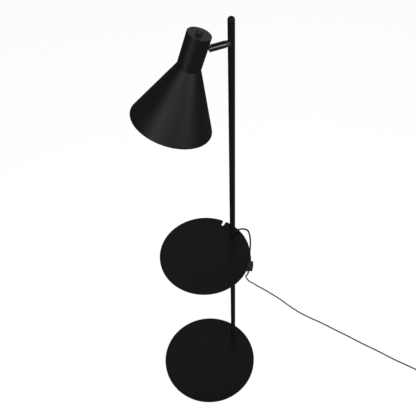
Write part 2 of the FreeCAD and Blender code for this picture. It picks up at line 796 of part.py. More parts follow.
def switch_shells():
    """Two clamshell halves with eased corners, tapered ends for the cord and a window for the rocker."""
    half = block_body / 2
    body = box_between(Vector(-half, -block_width / 2, -block_thickness / 2),
                       Vector(half, block_width / 2, block_thickness / 2))
    upright = [edge for edge in body.Edges if abs(edge.tangentAt(edge.FirstParameter).z) > half_share]
    body = body.makeFillet(block_corner, upright)
    faces = [edge for edge in body.Edges
             if abs(abs(edge.CenterOfMass.z) - block_thickness / 2) < seat_gap]
    body = body.makeChamfer(block_wall, faces)
    for sign in (-1, 1):
        neck = Part.makeCone(block_neck_diameter / 2, block_tip_diameter / 2, block_length / 2 - half + block_wall,
                             Vector(sign * (half - block_wall), 0, 0), X_AXIS * sign)
        body = body.fuse(neck)
    room = box_between(Vector(-half + 2 * block_wall, -block_width / 2 + block_wall, -block_thickness / 2 + block_wall),
                       Vector(half - 2 * block_wall, block_width / 2 - block_wall, block_thickness / 2 - block_wall))
    for sign in (-1, 1):
        post_x = sign * (half - block_screw_inset)
        room = room.cut(rod(block_screw_head / 2, -block_thickness, block_thickness, Z_AXIS, Vector(post_x, 0, 0)))
    axle_z = block_thickness / 2 - block_wall - rocker_axle
    cheek_start = rocker_width / 2 + rocker_gap
    cheek_end = cheek_start + block_wall
    room = room.cut(box_between(Vector(-rocker_axle, cheek_start, 0), Vector(rocker_axle, cheek_end, block_thickness)))
    room = room.cut(box_between(Vector(-rocker_axle, -cheek_end, 0), Vector(rocker_axle, -cheek_start, block_thickness)))
    body = body.cut(room)
    opening = rocker_length / 2 + 2 * rocker_gap
    window = box_between(Vector(-opening, -rocker_width / 2 - rocker_gap, 0),
                         Vector(opening, rocker_width / 2 + rocker_gap, block_thickness))
    body = body.cut(window)
    axle = rod(rocker_axle / 2 + rocker_axle_play, -rocker_width / 2 - block_wall - rocker_gap,
               rocker_width / 2 + block_wall + rocker_gap, Y_AXIS, Z_AXIS * axle_z)
    body = body.cut(axle)
    for sign in (-1, 1):
        foot = Vector(sign * (half - block_screw_inset), 0, -block_thickness / 2)
        body = body.cut(rod(block_screw_diameter / 2 + seat_gap, 0, block_screw_depth + seat_gap, Z_AXIS, foot))
        body = body.cut(rod(block_screw_head / 2 - block_wall * half_share, 0, block_wall, Z_AXIS, foot))
    low = box_between(Vector(-block_length, -block_width, -block_thickness), Vector(block_length, block_width, 0))
    front = body.cut(low)
    back = body.common(low)
    return front, back, axle_z


def switch_screws():
    screws = []
    half = block_body / 2
    for sign in (-1, 1):
        foot = Vector(sign * (half - block_screw_inset), 0, -block_thickness / 2)
        shank = rod(block_screw_diameter / 2, block_wall * half_share, block_screw_depth, Z_AXIS, foot)
        head = rod(block_screw_head / 2 - block_wall * half_share - seat_gap, 0, block_wall - seat_gap, Z_AXIS, foot)
        screws.append(shank.fuse(head).removeSplitter())
    return Part.makeCompound(screws)


def switch_terminals():
    """Four clamp blocks on the floor of the back shell, two for each end of the cord."""
    floor_z = block_wall - block_thickness / 2
    blocks = []
    for x in (-terminal_reach, terminal_reach):
        for y in (-terminal_spread, terminal_spread):
            low = Vector(x - terminal_length / 2, y - terminal_width / 2, floor_z)
            blocks.append(Part.makeBox(terminal_length, terminal_width, terminal_height, low))
    return Part.makeCompound(blocks)


def rocker(axle_z):
    """A rocker with a shallow valley across its face, on two short axles."""
    half = rocker_length / 2
    top = block_thickness / 2 + rocker_rise
    dip = block_thickness / 2 + rocker_rise * half_share
    deep = top - rocker_depth
    outline = [Vector(-half, 0, top), Vector(0, 0, dip), Vector(half, 0, top),
               Vector(half - rocker_rise, 0, deep), Vector(-half + rocker_rise, 0, deep), Vector(-half, 0, top)]
    body = Part.Face(Part.makePolygon(outline)).extrude(Vector(0, rocker_width, 0))
    body.translate(Vector(0, -rocker_width / 2, 0))
    hub = rod(rocker_axle, -rocker_width / 2, rocker_width / 2, Y_AXIS, Z_AXIS * axle_z)
    axle = rod(rocker_axle / 2, -rocker_width / 2 - block_wall, rocker_width / 2 + block_wall, Y_AXIS,
               Z_AXIS * axle_z)
    body = body.fuse(hub).fuse(axle).removeSplitter()
    body.rotate(Z_AXIS * axle_z, Y_AXIS, -rocker_tilt)
    return body


def spiral_point(turns, centre, start_angle):
    """A point on the coil: inwards on the floor, a climb of half a turn, then outwards one layer up."""
    climbed = (turns - coil_turns_in) / coil_climb
    share = min(max(climbed, 0), 1)
    flat_turns = coil_turns_in - turns if climbed < 1 else turns - coil_turns_in - coil_climb
    radius = coil_inner_radius + coil_pitch * max(flat_turns, 0)
    height = coil_layer_rise * half_share * (1 - math.cos(math.pi * share))
    angle = start_angle + 2 * math.pi * turns
    return centre + Vector(radius * math.cos(angle), radius * math.sin(angle), height)


def biarc(first, first_heading, last, last_heading):
    """Two tangent arcs between two points with given headings."""
    chord = last - first
    both = first_heading + last_heading
    spread = 2 * (1 - first_heading.dot(last_heading))
    along = chord.dot(both)
    reach = (math.sqrt(along * along + spread * chord.dot(chord)) - along) / spread
    corner_a = first + first_heading * reach
    corner_b = last - last_heading * reach
    middle = (corner_a + corner_b) * half_share
    edges = []
    for start, corner, end in ((first, corner_a, middle), (middle, corner_b, last)):
        base = (start + end) * half_share
        rise = corner - base
        lean = math.acos(min(1, (end - start).Length / 2 / reach))
        top = base + rise.normalize() * ((end - start).Length / 2 * math.tan(lean / 2))
        edges.append(Part.Arc(start, top, end).toShape())
    return edges


def coil_path(entry, heading):
    """The coil's centre line from the end of the floor run, its two ends, and the heading at the plug."""
    widest = coil_inner_radius + coil_pitch * coil_turns_in
    side = Vector(-heading.y, heading.x, 0)
    centre = entry + heading * coil_tail_straight + side * widest
    start_angle = math.atan2(-side.y, -side.x)
    full = coil_turns_in + coil_climb + coil_turns_out
    count = round(full / coil_step)
    nudge = coil_step / 1000
    points = []
    headings = []
    for step in range(count + 1):
        turns = step * coil_step
        points.append(spiral_point(turns, centre, start_angle))
        ahead = spiral_point(min(turns + nudge, full), centre, start_angle)
        behind = spiral_point(max(turns - nudge, 0), centre, start_angle)
        headings.append((ahead - behind).normalize())
    headings[0] = heading
    headings[-1] = (headings[-1] - Z_AXIS * coil_tail_drop).normalize()
    edges = [Part.LineSegment(entry, points[0]).toShape()]
    for step in range(count):
        edges += biarc(points[step], headings[step], points[step + 1], headings[step + 1])
    end = points[-1] + headings[-1] * coil_tail_straight
    edges.append(Part.LineSegment(points[-1], end).toShape())
    return Part.Wire(edges), end, headings[-1], centre


def own_gap(wire):
    """The least distance between two stretches of a wound cord that are more than half a turn apart."""
    samples = wire.discretize(Distance=cord_radius)
    apart = int(math.pi * coil_inner_radius / cord_radius)
    least = min((a - b).Length for i, a in enumerate(samples) for b in samples[i + apart:])
    return least - cord_diameter


def coil_tie(centre, direction):
    """A flat strap round the turns at one side of the coil."""
    bow = coil_inner_radius - math.sqrt(coil_inner_radius * coil_inner_radius - tie_width * tie_width / 4)
    inner = coil_inner_radius - cord_radius - tie_clearance - bow
    outer = coil_inner_radius + coil_pitch * coil_turns_out + cord_radius + tie_clearance
    low = -cord_radius - tie_clearance
    high = coil_layer_rise + cord_radius + tie_clearance
    room = box_between(Vector(inner, -tie_width, low), Vector(outer, tie_width, high))
    strap = box_between(Vector(inner - tie_wall, -tie_width / 2, low - tie_wall),
                        Vector(outer + tie_wall, tie_width / 2, high + tie_wall))
    band = strap.cut(room)
    band.rotate(ORIGIN, Z_AXIS, math.degrees(math.atan2(direction.y, direction.x)))
    band.translate(centre)
    return band


def plug_parts(end, heading):
    """A flat two-pin plug that lies on the floor at the end of the cord, with its tapered relief."""
    across = Z_AXIS.cross(heading)
    place = Placement(end, Rotation(heading, across, heading.cross(across), "XYZ"))
    relief = Part.makeCone(plug_relief_tip / 2, plug_relief_root / 2, plug_relief_length, ORIGIN, X_AXIS)
    start = plug_relief_length
    stop = start + plug_length
    outline = [Vector(start, -plug_width / 2 + plug_corner, 0), Vector(start, plug_width / 2 - plug_corner, 0),
               Vector(start + plug_corner, plug_width / 2, 0), Vector(stop - plug_corner, plug_tip_width / 2, 0),
               Vector(stop, plug_tip_width / 2 - plug_corner, 0), Vector(stop, -plug_tip_width / 2 + plug_corner, 0),
               Vector(stop - plug_corner, -plug_tip_width / 2, 0), Vector(start + plug_corner, -plug_width / 2, 0)]
    body = Part.Face(Part.makePolygon(outline + outline[:1])).extrude(Vector(0, 0, plug_thickness))
    body.translate(Vector(0, 0, -plug_thickness / 2))
    long_edges = [edge for edge in body.Edges if abs(abs(edge.CenterOfMass.z) - plug_thickness / 2) < seat_gap]
    body = body.makeChamfer(plug_corner * half_share, long_edges)
    body = body.fuse(relief)
    pins = []
    for sign in (-1, 1):
        foot = Vector(stop, sign * pin_spacing / 2, 0)
        root = rod(plug_pin_root_diameter / 2, -plug_pin_root, 0, X_AXIS, foot)
        free = rod(plug_pin_diameter / 2, 0, plug_pin_length, X_AXIS, foot)
        free = free.makeFillet(plug_pin_tip, edges_at(free, lambda middle: middle.x > stop + plug_pin_length - seat_gap))
        body = body.cut(root)
        pins.append(root.fuse(free))
    free_middle = Vector(stop + (plug_pin_length - plug_pin_tip) / 2, pin_spacing / 2, 0)
    return placed(body.removeSplitter(), place), placed(Part.makeCompound(pins), place), place.multVec(free_middle)


os.makedirs("parts", exist_ok=True)

save("base_disc", base_disc())
save("base_pad", base_pad())
save("base_bolt", base_bolt())
save("pole_foot_insert", threaded_insert(base_top, base_top + insert_length, bolt_diameter / 2))
save("lower_pole", lower_pole())
save("pole_top_insert", threaded_insert(tray_underside - insert_length, tray_underside, stud_diameter / 2))
save("tray_disc", tray_disc())
save("pole_coupling", pole_coupling())
save("upper_pole", upper_pole())
save("pole_end_cap", pole_end_cap())
save("cord_relief", cord_relief())
save("lead_tail", lead_tail())
save("pole_wires", pole_wires())
save("pole_barrel_nut", pole_barrel_nut())
save("arm_nipple", arm_nipple())
save("arm_collar", arm_collar())
save("arm_barrel", arm_barrel())
save("hinge_pin", hinge_pin())
save("friction_washers", friction_washers())

save("knuckle_tongue", knuckle_tongue())
washer, nut_seat = knuckle_washer()
save("knuckle_washer", washer)
save("knuckle_nut", knuckle_nut(nut_seat))
save("holder_bracket", holder_bracket())
save("neck_shell", neck_shell())
save("neck_cap", neck_cap())
save("cone_shade", cone_shade())
save("rotary_switch_body", rotary_switch_body())
save("switch_ring_nut", switch_ring_nut())
save("switch_shaft", switch_shaft())
save("switch_knob", switch_knob())
holder, socket_floor = holder_parts()
for node, shape in holder.items():
    save(node, shape)
bulb_cap, bulb_globe = bulb_parts(socket_floor)
save("bulb_cap", bulb_cap)
save("bulb_globe", bulb_globe)
save("head_wires", head_wires())

block_frame, block_along = block_placement()
block_top = below_exit(block_place)
exit_start = UPPER.multVec(Vector(0, relief_reach, exit_height))
exit_next = UPPER.multVec(Vector(0, relief_reach + exit_run, exit_height))
upper_points = [exit_start, exit_next] + [below_exit(point) for point in upper_route]
upper_points += [block_top - block_along * block_run, block_top]
upper_cord, upper_length = cord_tube("mains_cord_upper", upper_points)
save("mains_cord_upper", upper_cord)
front_shell, back_shell, rocker_axle_z = switch_shells()
save("cord_switch_front_shell", placed(front_shell, block_frame))
save("cord_switch_back_shell", placed(back_shell, block_frame))
save("cord_switch_screws", placed(switch_screws(), block_frame))
save("cord_switch_terminals", placed(switch_terminals(), block_frame))
save("cord_switch_rocker", placed(rocker(rocker_axle_z), block_frame))

block_bottom = block_top + block_along * block_length
coil_direction = Vector(math.cos(math.radians(coil_heading)), math.sin(math.radians(coil_heading)), 0)
last_route_point = Vector(*lower_route[-1])
coil_entry = last_route_point + coil_direction * coil_lead_run
lower_points = [block_bottom, block_bottom + block_along * block_run]
lower_points += [Vector(*point) for point in lower_route] + [coil_entry]
lower_cord, lower_length = cord_tube("mains_cord_lower", lower_points)
save("mains_cord_lower", lower_cord)
coil_wire, coil_end, plug_heading, coil_centre = coil_path(coil_entry, coil_direction)
coil = tube_along(coil_wire, coil_entry, coil_direction, cord_radius)
coil_section = math.pi * cord_radius * cord_radius
print("coil length", round(coil_wire.Length, 1), "ratio", round(coil.Volume / coil_section / coil_wire.Length, 4))
print("coil least gap to itself", round(own_gap(coil_wire), 2))
print("free cord from the exit", round(upper_length + block_length + lower_length + coil_wire.Length, 1))
save("mains_cord_coil", coil)
save("cord_tie", coil_tie(coil_centre, -coil_direction))
plug, pins, pin_middle = plug_parts(coil_end, plug_heading)
save("plug_body", plug)
save("plug_pins", pins)

# Places that the record repeats
print("pin", HEAD.multVec(ORIGIN), "hinge axis", HEAD.Rotation.multVec(X_AXIS))
print("neck axis point", NECK.multVec(ORIGIN), "up", NECK.Rotation.multVec(Z_AXIS))
print("rocker axle", block_frame.multVec(Vector(0, 0, rocker_axle_z)), block_frame.Rotation.multVec(Y_AXIS))
print("tray centre", tray_y, "pole", pole_y, "exit", exit_start)
print("free part of one pin", pin_middle)
print("coil centre", coil_centre, "coil end", coil_end, "plug heading", plug_heading)
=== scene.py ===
# %% [markdown]
# # A tray table floor lamp
#
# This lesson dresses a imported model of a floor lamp: a heavy round base, a pole in two lengths that grips a
# round tray, a short glossy arm and a cone shade that tilts on it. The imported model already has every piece
# in its place, in metres, with the floor at zero height and the lamp's front towards -Y. The lesson sets the
# camera, runs the cord, makes the paints and plastics, and remakes the pieces that a viewer sees best with
# smooth, finely eased surfaces.

import json
import math

import bmesh
import bpy
from mathutils import Matrix, Vector


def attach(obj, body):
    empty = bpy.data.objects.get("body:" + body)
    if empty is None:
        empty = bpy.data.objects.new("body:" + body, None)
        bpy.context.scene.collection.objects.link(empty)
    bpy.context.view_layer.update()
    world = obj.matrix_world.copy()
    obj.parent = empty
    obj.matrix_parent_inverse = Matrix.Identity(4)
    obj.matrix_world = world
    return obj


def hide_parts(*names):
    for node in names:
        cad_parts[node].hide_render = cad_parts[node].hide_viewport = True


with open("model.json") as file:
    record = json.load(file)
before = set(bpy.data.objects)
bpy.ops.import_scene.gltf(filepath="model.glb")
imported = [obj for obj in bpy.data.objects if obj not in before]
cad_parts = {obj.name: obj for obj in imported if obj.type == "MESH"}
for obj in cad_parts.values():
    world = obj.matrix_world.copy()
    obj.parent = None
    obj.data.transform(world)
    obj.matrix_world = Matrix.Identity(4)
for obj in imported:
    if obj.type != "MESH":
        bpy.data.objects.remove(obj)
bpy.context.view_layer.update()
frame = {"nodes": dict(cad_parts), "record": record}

# %% [markdown]
# ## Camera
#
# The photograph looks down on the lamp from its front right, from a little over two metres up. Its position
# and lens were found by matching the rims of the base, the tray and the shade, which are all circles, so that
# their ovals in the picture fix both the angle and the distance. The three directions below are the camera's
# own right, up and backward axes.

# %% Camera
SENSOR_WIDTH = 36.0
LENS = 56.1
camera_place = Vector((0.7598, -0.5874, 2.2181))
camera_right = Vector((0.666577, 0.744669, -0.033815))
camera_up = Vector((-0.585689, 0.551252, 0.594213))
camera_back = Vector((0.461132, -0.376284, 0.803597))


def frame_at(place, x_axis, y_axis, z_axis):
    axes = Matrix((x_axis, y_axis, z_axis)).transposed()
    return Matrix.LocRotScale(place, axes.to_quaternion(), None)


lens = bpy.data.cameras.new("photo_lens")
lens.sensor_width = SENSOR_WIDTH
lens.lens = LENS
lens.clip_end = 50
camera = bpy.data.objects.new("photo_camera", lens)
camera.matrix_world = frame_at(camera_place, camera_right, camera_up, camera_back)
bpy.context.scene.collection.objects.link(camera)
bpy.context.scene.camera = camera
print("camera", round(camera_place.z, 2), "m above the floor")

# %% [markdown]
# ## The mains cord
#
# The cord leaves the back of the pole just above the tray, arches over, hangs with a small switch in it, and
# falls to the floor behind the lamp. From there it runs off to the right. It is a smooth spline whose control
# points are the same places that the cord's solid turns at, so both lie in one line. A quadratic spline pulls
# inside each corner as a real cord does. The length that the photograph doesn't show is wound into a coil of
# two layers, just outside the view, with its plug beside it.

# %% Routes of the two stretches
CORD_THICKNESS = 0.0048
upper_route = [
    (0.00609, 0.13287, 0.7030), (0.0099, 0.1428, 0.7030), (0.0164, 0.1554, 0.6933), (0.0160, 0.1628, 0.6796),
    (0.0184, 0.1673, 0.6591), (0.0195, 0.1703, 0.6298), (0.0200, 0.1706, 0.5922), (0.0199, 0.1683, 0.5560),
    (0.02342, 0.17029, 0.52898), (0.0204, 0.1713, 0.5052)]
fall_and_floor = [
    (0.01234, 0.17399, 0.44180), (0.00932, 0.17500, 0.41802), (-0.0055, 0.1900, 0.3880),
    (-0.0265, 0.2135, 0.3330), (-0.0505, 0.2355, 0.2790), (-0.0735, 0.2605, 0.2210),
    (-0.0985, 0.2825, 0.1610), (-0.1205, 0.3055, 0.1040), (-0.1346, 0.3175, 0.0635),
    (-0.1497, 0.3238, 0.0388), (-0.1468, 0.3249, 0.0183), (-0.1327, 0.3279, 0.0049),
    (-0.1150, 0.3361, 0.0026), (-0.0970, 0.3380, 0.0026), (-0.0750, 0.3455, 0.0026),
    (-0.0460, 0.3515, 0.0026), (0.0, 0.3615, 0.0026), (0.0460, 0.3660, 0.0026), (0.0900, 0.3735, 0.0026),
    (0.1330, 0.3865, 0.0026), (0.1780, 0.4035, 0.0026), (0.2270, 0.4175, 0.0026), (0.2790, 0.4345, 0.0026),
    (0.3340, 0.4495, 0.0026), (0.3890, 0.4685, 0.0026), (0.4440, 0.4835, 0.0026), (0.4920, 0.5005, 0.0032),
    (0.5290, 0.5130, 0.0040)]
print("stretches:", len(upper_route), "and", len(fall_and_floor), "points")

# %% [markdown]
# The coil is wound by hand in the same way each time: inwards on the floor, up one layer in half a turn, and
# outwards again on top. Its control points follow that spiral, twenty-four to a turn, and carry on from the
# floor run, so the whole stretch stays one spline.

# %% Turns of the put-away coil
COIL_HEADING = math.radians(16)
COIL_INNER = 0.0225
COIL_PITCH = 0.0062
COIL_RISE = 0.0053
COIL_TURNS_IN, COIL_CLIMB, COIL_TURNS_OUT = 1.25, 0.5, 1.5
COIL_STEPS = 24
COIL_LEAD = 0.039
STRAIGHT_END = 0.005
coil_ahead = Vector((math.cos(COIL_HEADING), math.sin(COIL_HEADING), 0))
coil_side = Vector((-coil_ahead.y, coil_ahead.x, 0))
coil_start = Vector(fall_and_floor[-1]) + coil_ahead * COIL_LEAD
coil_centre = coil_start + coil_side * (COIL_INNER + COIL_PITCH * COIL_TURNS_IN)


def coil_point(turns):
    climbed = min(max((turns - COIL_TURNS_IN) / COIL_CLIMB, 0), 1)
    flat = COIL_TURNS_IN - turns if climbed < 1 else turns - COIL_TURNS_IN - COIL_CLIMB
    radius = COIL_INNER + COIL_PITCH * max(flat, 0)
    angle = math.atan2(-coil_side.y, -coil_side.x) + 2 * math.pi * turns
    height = COIL_RISE * (1 - math.cos(math.pi * climbed)) / 2
    return coil_centre + Vector((radius * math.cos(angle), radius * math.sin(angle), height))


whole_turns = COIL_TURNS_IN + COIL_CLIMB + COIL_TURNS_OUT
coil_points = [coil_point(step / COIL_STEPS) for step in range(int(whole_turns * COIL_STEPS) + 1)]
plug_heading = Vector((-0.244819, 0.969105, -0.029987))
plug_start = coil_points[-1] + plug_heading * STRAIGHT_END
lower_route = [Vector(place) for place in fall_and_floor] + [coil_start - coil_ahead * STRAIGHT_END]
lower_route += coil_points + [plug_start]
print("coil of", whole_turns, "turns, plug starts at", [round(x, 4) for x in plug_start])


# %% Cords as splines
def run_cord(name, places):
    flex = bpy.data.curves.new(name, "CURVE")
    flex.dimensions = "3D"
    flex.bevel_depth = 1
    flex.bevel_resolution = 5
    flex.resolution_u = 8
    flex.use_fill_caps = True
    spline = flex.splines.new("NURBS")
    spline.points.add(len(places) - 1)
    for point, place in zip(spline.points, places):
        point.co = (*place, 1)
        point.radius = CORD_THICKNESS / 2
    spline.order_u = 3
    spline.use_endpoint_u = True
    cord = bpy.data.objects.new(name, flex)
    bpy.context.scene.collection.objects.link(cord)
    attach(cord, "stand")
    return cord


cord_above_switch = run_cord("cord_above_switch", upper_route)
cord_below_switch = run_cord("cord_below_switch", lower_route)
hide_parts("mains_cord_upper")
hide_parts("mains_cord_lower", "mains_cord_coil")
print("cord", CORD_THICKNESS * 1000, "mm thick")

# %% [markdown]
# ## Light and floor
#
# Black paint shows mostly what it mirrors, so where the light stands matters more than how strong it is. Two
# tall soft boxes stand in front and to the right, a weaker one stands behind the camera, and the room is dim
# elsewhere, with a paler wall behind the lamp. The neck and the cone then carry their bright bands where the
# photograph has them, the flat cap mirrors the rear wall, and the tray mirrors the dim ceiling. The camera
# itself sees plain white everywhere, and the floor keeps a soft trace of the lamp's shadow.

# %% Room
REAR_WALL, SIDES, CEILING = 0.46, 0.14, 0.10
REAR_FROM, REAR_FULL, CEILING_FROM, CEILING_FULL = 0.2, 0.8, 0.3, 0.65


def studio_room():
    world = bpy.data.worlds.new("studio_room")
    bpy.context.scene.world = world
    world.use_nodes = True
    nodes, links = world.node_tree.nodes, world.node_tree.links
    nodes.clear()
    direction = nodes.new("ShaderNodeTexCoord")
    axes = nodes.new("ShaderNodeSeparateXYZ")
    rearward = nodes.new("ShaderNodeMapRange")
    rearward.inputs["From Min"].default_value = REAR_FROM
    rearward.inputs["From Max"].default_value = REAR_FULL
    rearward.inputs["To Min"].default_value = SIDES
    rearward.inputs["To Max"].default_value = REAR_WALL
    upward = nodes.new("ShaderNodeMapRange")
    upward.inputs["From Min"].default_value = CEILING_FROM
    upward.inputs["From Max"].default_value = CEILING_FULL
    tone = nodes.new("ShaderNodeMix")
    tone.inputs["B"].default_value = CEILING
    path = nodes.new("ShaderNodeLightPath")
    around = nodes.new("ShaderNodeBackground")
    backdrop = nodes.new("ShaderNodeBackground")
    backdrop.inputs["Color"].default_value = (1, 1, 1, 1)
    seen = nodes.new("ShaderNodeMath")
    seen.operation = "MAXIMUM"
    pick = nodes.new("ShaderNodeMixShader")
    out = nodes.new("ShaderNodeOutputWorld")
    links.new(direction.outputs["Generated"], axes.inputs[0])
    links.new(axes.outputs["Y"], rearward.inputs["Value"])
    links.new(axes.outputs["Z"], upward.inputs["Value"])
    links.new(upward.outputs["Result"], tone.inputs["Factor"])
    links.new(rearward.outputs["Result"], tone.inputs["A"])
    links.new(tone.outputs["Result"], around.inputs["Color"])
    links.new(path.outputs["Is Camera Ray"], seen.inputs[0])
    links.new(path.outputs["Is Transmission Ray"], seen.inputs[1])
    links.new(seen.outputs[0], pick.inputs["Fac"])
    links.new(around.outputs[0], pick.inputs[1])
    links.new(backdrop.outputs[0], pick.inputs[2])
    links.new(pick.outputs[0], out.inputs["Surface"])


studio_room()
bpy.context.scene.view_settings.view_transform = "Standard"
print("room:", REAR_WALL, "behind,", SIDES, "at the sides,", CEILING, "overhead")


# %% Soft boxes
def soft_box(name, place, aim, size, power):
    light = bpy.data.lights.new(name, "AREA")
    light.shape = "RECTANGLE"
    light.size, light.size_y = size
    light.energy = power
    lamp = bpy.data.objects.new(name, light)
    lamp.location = place
    lamp.rotation_euler = (Vector(aim) - Vector(place)).to_track_quat("-Z", "Y").to_euler()
    bpy.context.scene.collection.objects.link(lamp)


soft_box("front_window", (0.30, -2.40, 2.2), (0, 0.05, 1.2), (1.1, 2.4), 26)
soft_box("right_window", (2.40, 0.40, 2.45), (0, 0.05, 1.1), (1.1, 1.8), 27)
soft_box("behind_camera", (1.90, -1.55, 3.4), (0, 0.05, 1.0), (1.8, 1.8), 20)
print("soft boxes:", [light.name for light in bpy.data.lights])

# %% Floor
FLOOR_TONE, FLOOR_GLOW, FLOOR_REACH = 0.30, 0.89, 12


def studio_floor():
    bm = bmesh.new()
    bmesh.ops.create_grid(bm, x_segments=1, y_segments=1, size=FLOOR_REACH)
    mesh = bpy.data.meshes.new("studio_floor")
    bm.to_mesh(mesh)
    bm.free()
    floor = bpy.data.objects.new("studio_floor", mesh)
    bpy.context.scene.collection.objects.link(floor)
    paint = bpy.data.materials.new("pale_floor")
    paint.use_nodes = True
    nodes, links = paint.node_tree.nodes, paint.node_tree.links
    nodes.clear()
    lit = nodes.new("ShaderNodeBsdfDiffuse")
    lit.inputs["Color"].default_value = (FLOOR_TONE, FLOOR_TONE, FLOOR_TONE, 1)
    path = nodes.new("ShaderNodeLightPath")
    level = nodes.new("ShaderNodeMath")
    level.operation = "MULTIPLY"
    level.inputs[1].default_value = FLOOR_GLOW
    glow = nodes.new("ShaderNodeEmission")
    both = nodes.new("ShaderNodeAddShader")
    out = nodes.new("ShaderNodeOutputMaterial")
    links.new(path.outputs["Is Camera Ray"], level.inputs[0])
    links.new(level.outputs[0], glow.inputs["Strength"])
    links.new(lit.outputs[0], both.inputs[0])
    links.new(glow.outputs[0], both.inputs[1])
    links.new(both.outputs[0], out.inputs["Surface"])
    mesh.materials.append(paint)


studio_floor()
print("floor laid")

# %% [markdown]
# ## Fine detail that several finishes share
#
# Powder coat, moulded plastic and rubber all have a skin of tiny bumps, and all gather a little dust where
# they face up. Each of these effects is a node group, built once and placed in every finish with its own
# numbers. The groups read Object coordinates, which are metres here, so a scale of 900 gives bumps of about
# a millimetre.


# %% Node group: skin of tiny bumps
def shared_group(name, numbers, results):
    group = bpy.data.node_groups.new(name, "ShaderNodeTree")
    for label, default in numbers:
        socket = group.interface.new_socket(label, in_out="INPUT", socket_type="NodeSocketFloat")
        socket.default_value = default
    for label in results:
        group.interface.new_socket(label, in_out="OUTPUT", socket_type="NodeSocketFloat")
    return group, group.nodes.new("NodeGroupInput"), group.nodes.new("NodeGroupOutput")


def fine_skin_group():
    group, given, result = shared_group(
        "fine_skin", [("Scale", 900), ("Clouding", 14)], ["Height", "Clouds"])
    place = group.nodes.new("ShaderNodeTexCoord")
    bumps = group.nodes.new("ShaderNodeTexNoise")
    bumps.inputs["Detail"].default_value = 3
    bumps.inputs["Roughness"].default_value = 0.55
    clouds = group.nodes.new("ShaderNodeTexNoise")
    clouds.inputs["Detail"].default_value = 4
    group.links.new(place.outputs["Object"], bumps.inputs["Vector"])
    group.links.new(place.outputs["Object"], clouds.inputs["Vector"])
    group.links.new(given.outputs["Scale"], bumps.inputs["Scale"])
    group.links.new(given.outputs["Clouding"], clouds.inputs["Scale"])
    group.links.new(bumps.outputs["Fac"], result.inputs["Height"])
    group.links.new(clouds.outputs["Fac"], result.inputs["Clouds"])
    return group


fine_skin = fine_skin_group()
print("group", fine_skin.name)


# %% Node group: dust on upward faces
def settled_dust_group():
    group, given, result = shared_group(
        "settled_dust", [("Amount", 0.3), ("Specks", 260)], ["Dust"])
    facing = group.nodes.new("ShaderNodeNewGeometry")
    height = group.nodes.new("ShaderNodeSeparateXYZ")
    upward = group.nodes.new("ShaderNodeMapRange")
    upward.inputs["From Min"].default_value = 0.45
    upward.inputs["From Max"].default_value = 1.0
    place = group.nodes.new("ShaderNodeTexCoord")
    specks = group.nodes.new("ShaderNodeTexNoise")
    specks.inputs["Detail"].default_value = 6
    specks.inputs["Roughness"].default_value = 0.7
    thin = group.nodes.new("ShaderNodeMapRange")
    thin.inputs["From Min"].default_value = 0.42
    thin.inputs["From Max"].default_value = 0.78
    both = group.nodes.new("ShaderNodeMath")
    both.operation = "MULTIPLY"
    share = group.nodes.new("ShaderNodeMath")
    share.operation = "MULTIPLY"
    group.links.new(facing.outputs["Normal"], height.inputs[0])
    group.links.new(height.outputs["Z"], upward.inputs["Value"])
    group.links.new(place.outputs["Object"], specks.inputs["Vector"])
    group.links.new(given.outputs["Specks"], specks.inputs["Scale"])
    group.links.new(specks.outputs["Fac"], thin.inputs["Value"])
    group.links.new(upward.outputs["Result"], both.inputs[0])
    group.links.new(thin.outputs["Result"], both.inputs[1])
    group.links.new(both.outputs[0], share.inputs[0])
    group.links.new(given.outputs["Amount"], share.inputs[1])
    group.links.new(share.outputs[0], result.inputs["Dust"])
    return group


settled_dust = settled_dust_group()
print("group", settled_dust.name)

# %% [markdown]
# ## Finishes
#
# One helper makes every opaque finish: a Principled shader whose colour goes from a deep to a pale tone with
# the clouds and the dust, whose roughness drifts with the clouds, and whose normal carries the fine skin.
# Numbers that are the same all over sit on the shader's own sockets.


# %% Opaque finishes
def finish_of(name, deep, pale, roughness, skin_scale, skin_depth, specular=0.5, metallic=0.0, coat=0.0,
              clouding=14, drift=0.06, dust=0.25, dust_tone=(0.16, 0.155, 0.15)):
    paint = bpy.data.materials.new(name)
    paint.use_nodes = True
    nodes, links = paint.node_tree.nodes, paint.node_tree.links
    shader = nodes["Principled BSDF"]
    shader.inputs["Metallic"].default_value = metallic
    shader.inputs["Specular IOR Level"].default_value = specular
    shader.inputs["Coat Weight"].default_value = coat
    shader.inputs["Coat Roughness"].default_value = 0.06
    skin = nodes.new("ShaderNodeGroup")
    skin.node_tree = fine_skin
    skin.inputs["Scale"].default_value = skin_scale
    skin.inputs["Clouding"].default_value = clouding
    settled = nodes.new("ShaderNodeGroup")
    settled.node_tree = settled_dust
    settled.inputs["Amount"].default_value = dust
    tone = nodes.new("ShaderNodeMix")
    tone.data_type = "RGBA"
    tone.inputs["A"].default_value = (*deep, 1)
    tone.inputs["B"].default_value = (*pale, 1)
    dusty = nodes.new("ShaderNodeMix")
    dusty.data_type = "RGBA"
    dusty.inputs["B"].default_value = (*dust_tone, 1)
    rough = nodes.new("ShaderNodeMapRange")
    rough.inputs["To Min"].default_value = roughness - drift
    rough.inputs["To Max"].default_value = roughness + drift
    bump = nodes.new("ShaderNodeBump")
    bump.inputs["Strength"].default_value = 1.0
    bump.inputs["Distance"].default_value = skin_depth
    links.new(skin.outputs["Clouds"], tone.inputs["Factor"])
    links.new(tone.outputs["Result"], dusty.inputs["A"])
    links.new(settled.outputs["Dust"], dusty.inputs["Factor"])
    links.new(dusty.outputs["Result"], shader.inputs["Base Color"])
    links.new(skin.outputs["Clouds"], rough.inputs["Value"])
    links.new(rough.outputs["Result"], shader.inputs["Roughness"])
    links.new(skin.outputs["Height"], bump.inputs["Height"])
    links.new(bump.outputs["Normal"], shader.inputs["Normal"])
    return paint


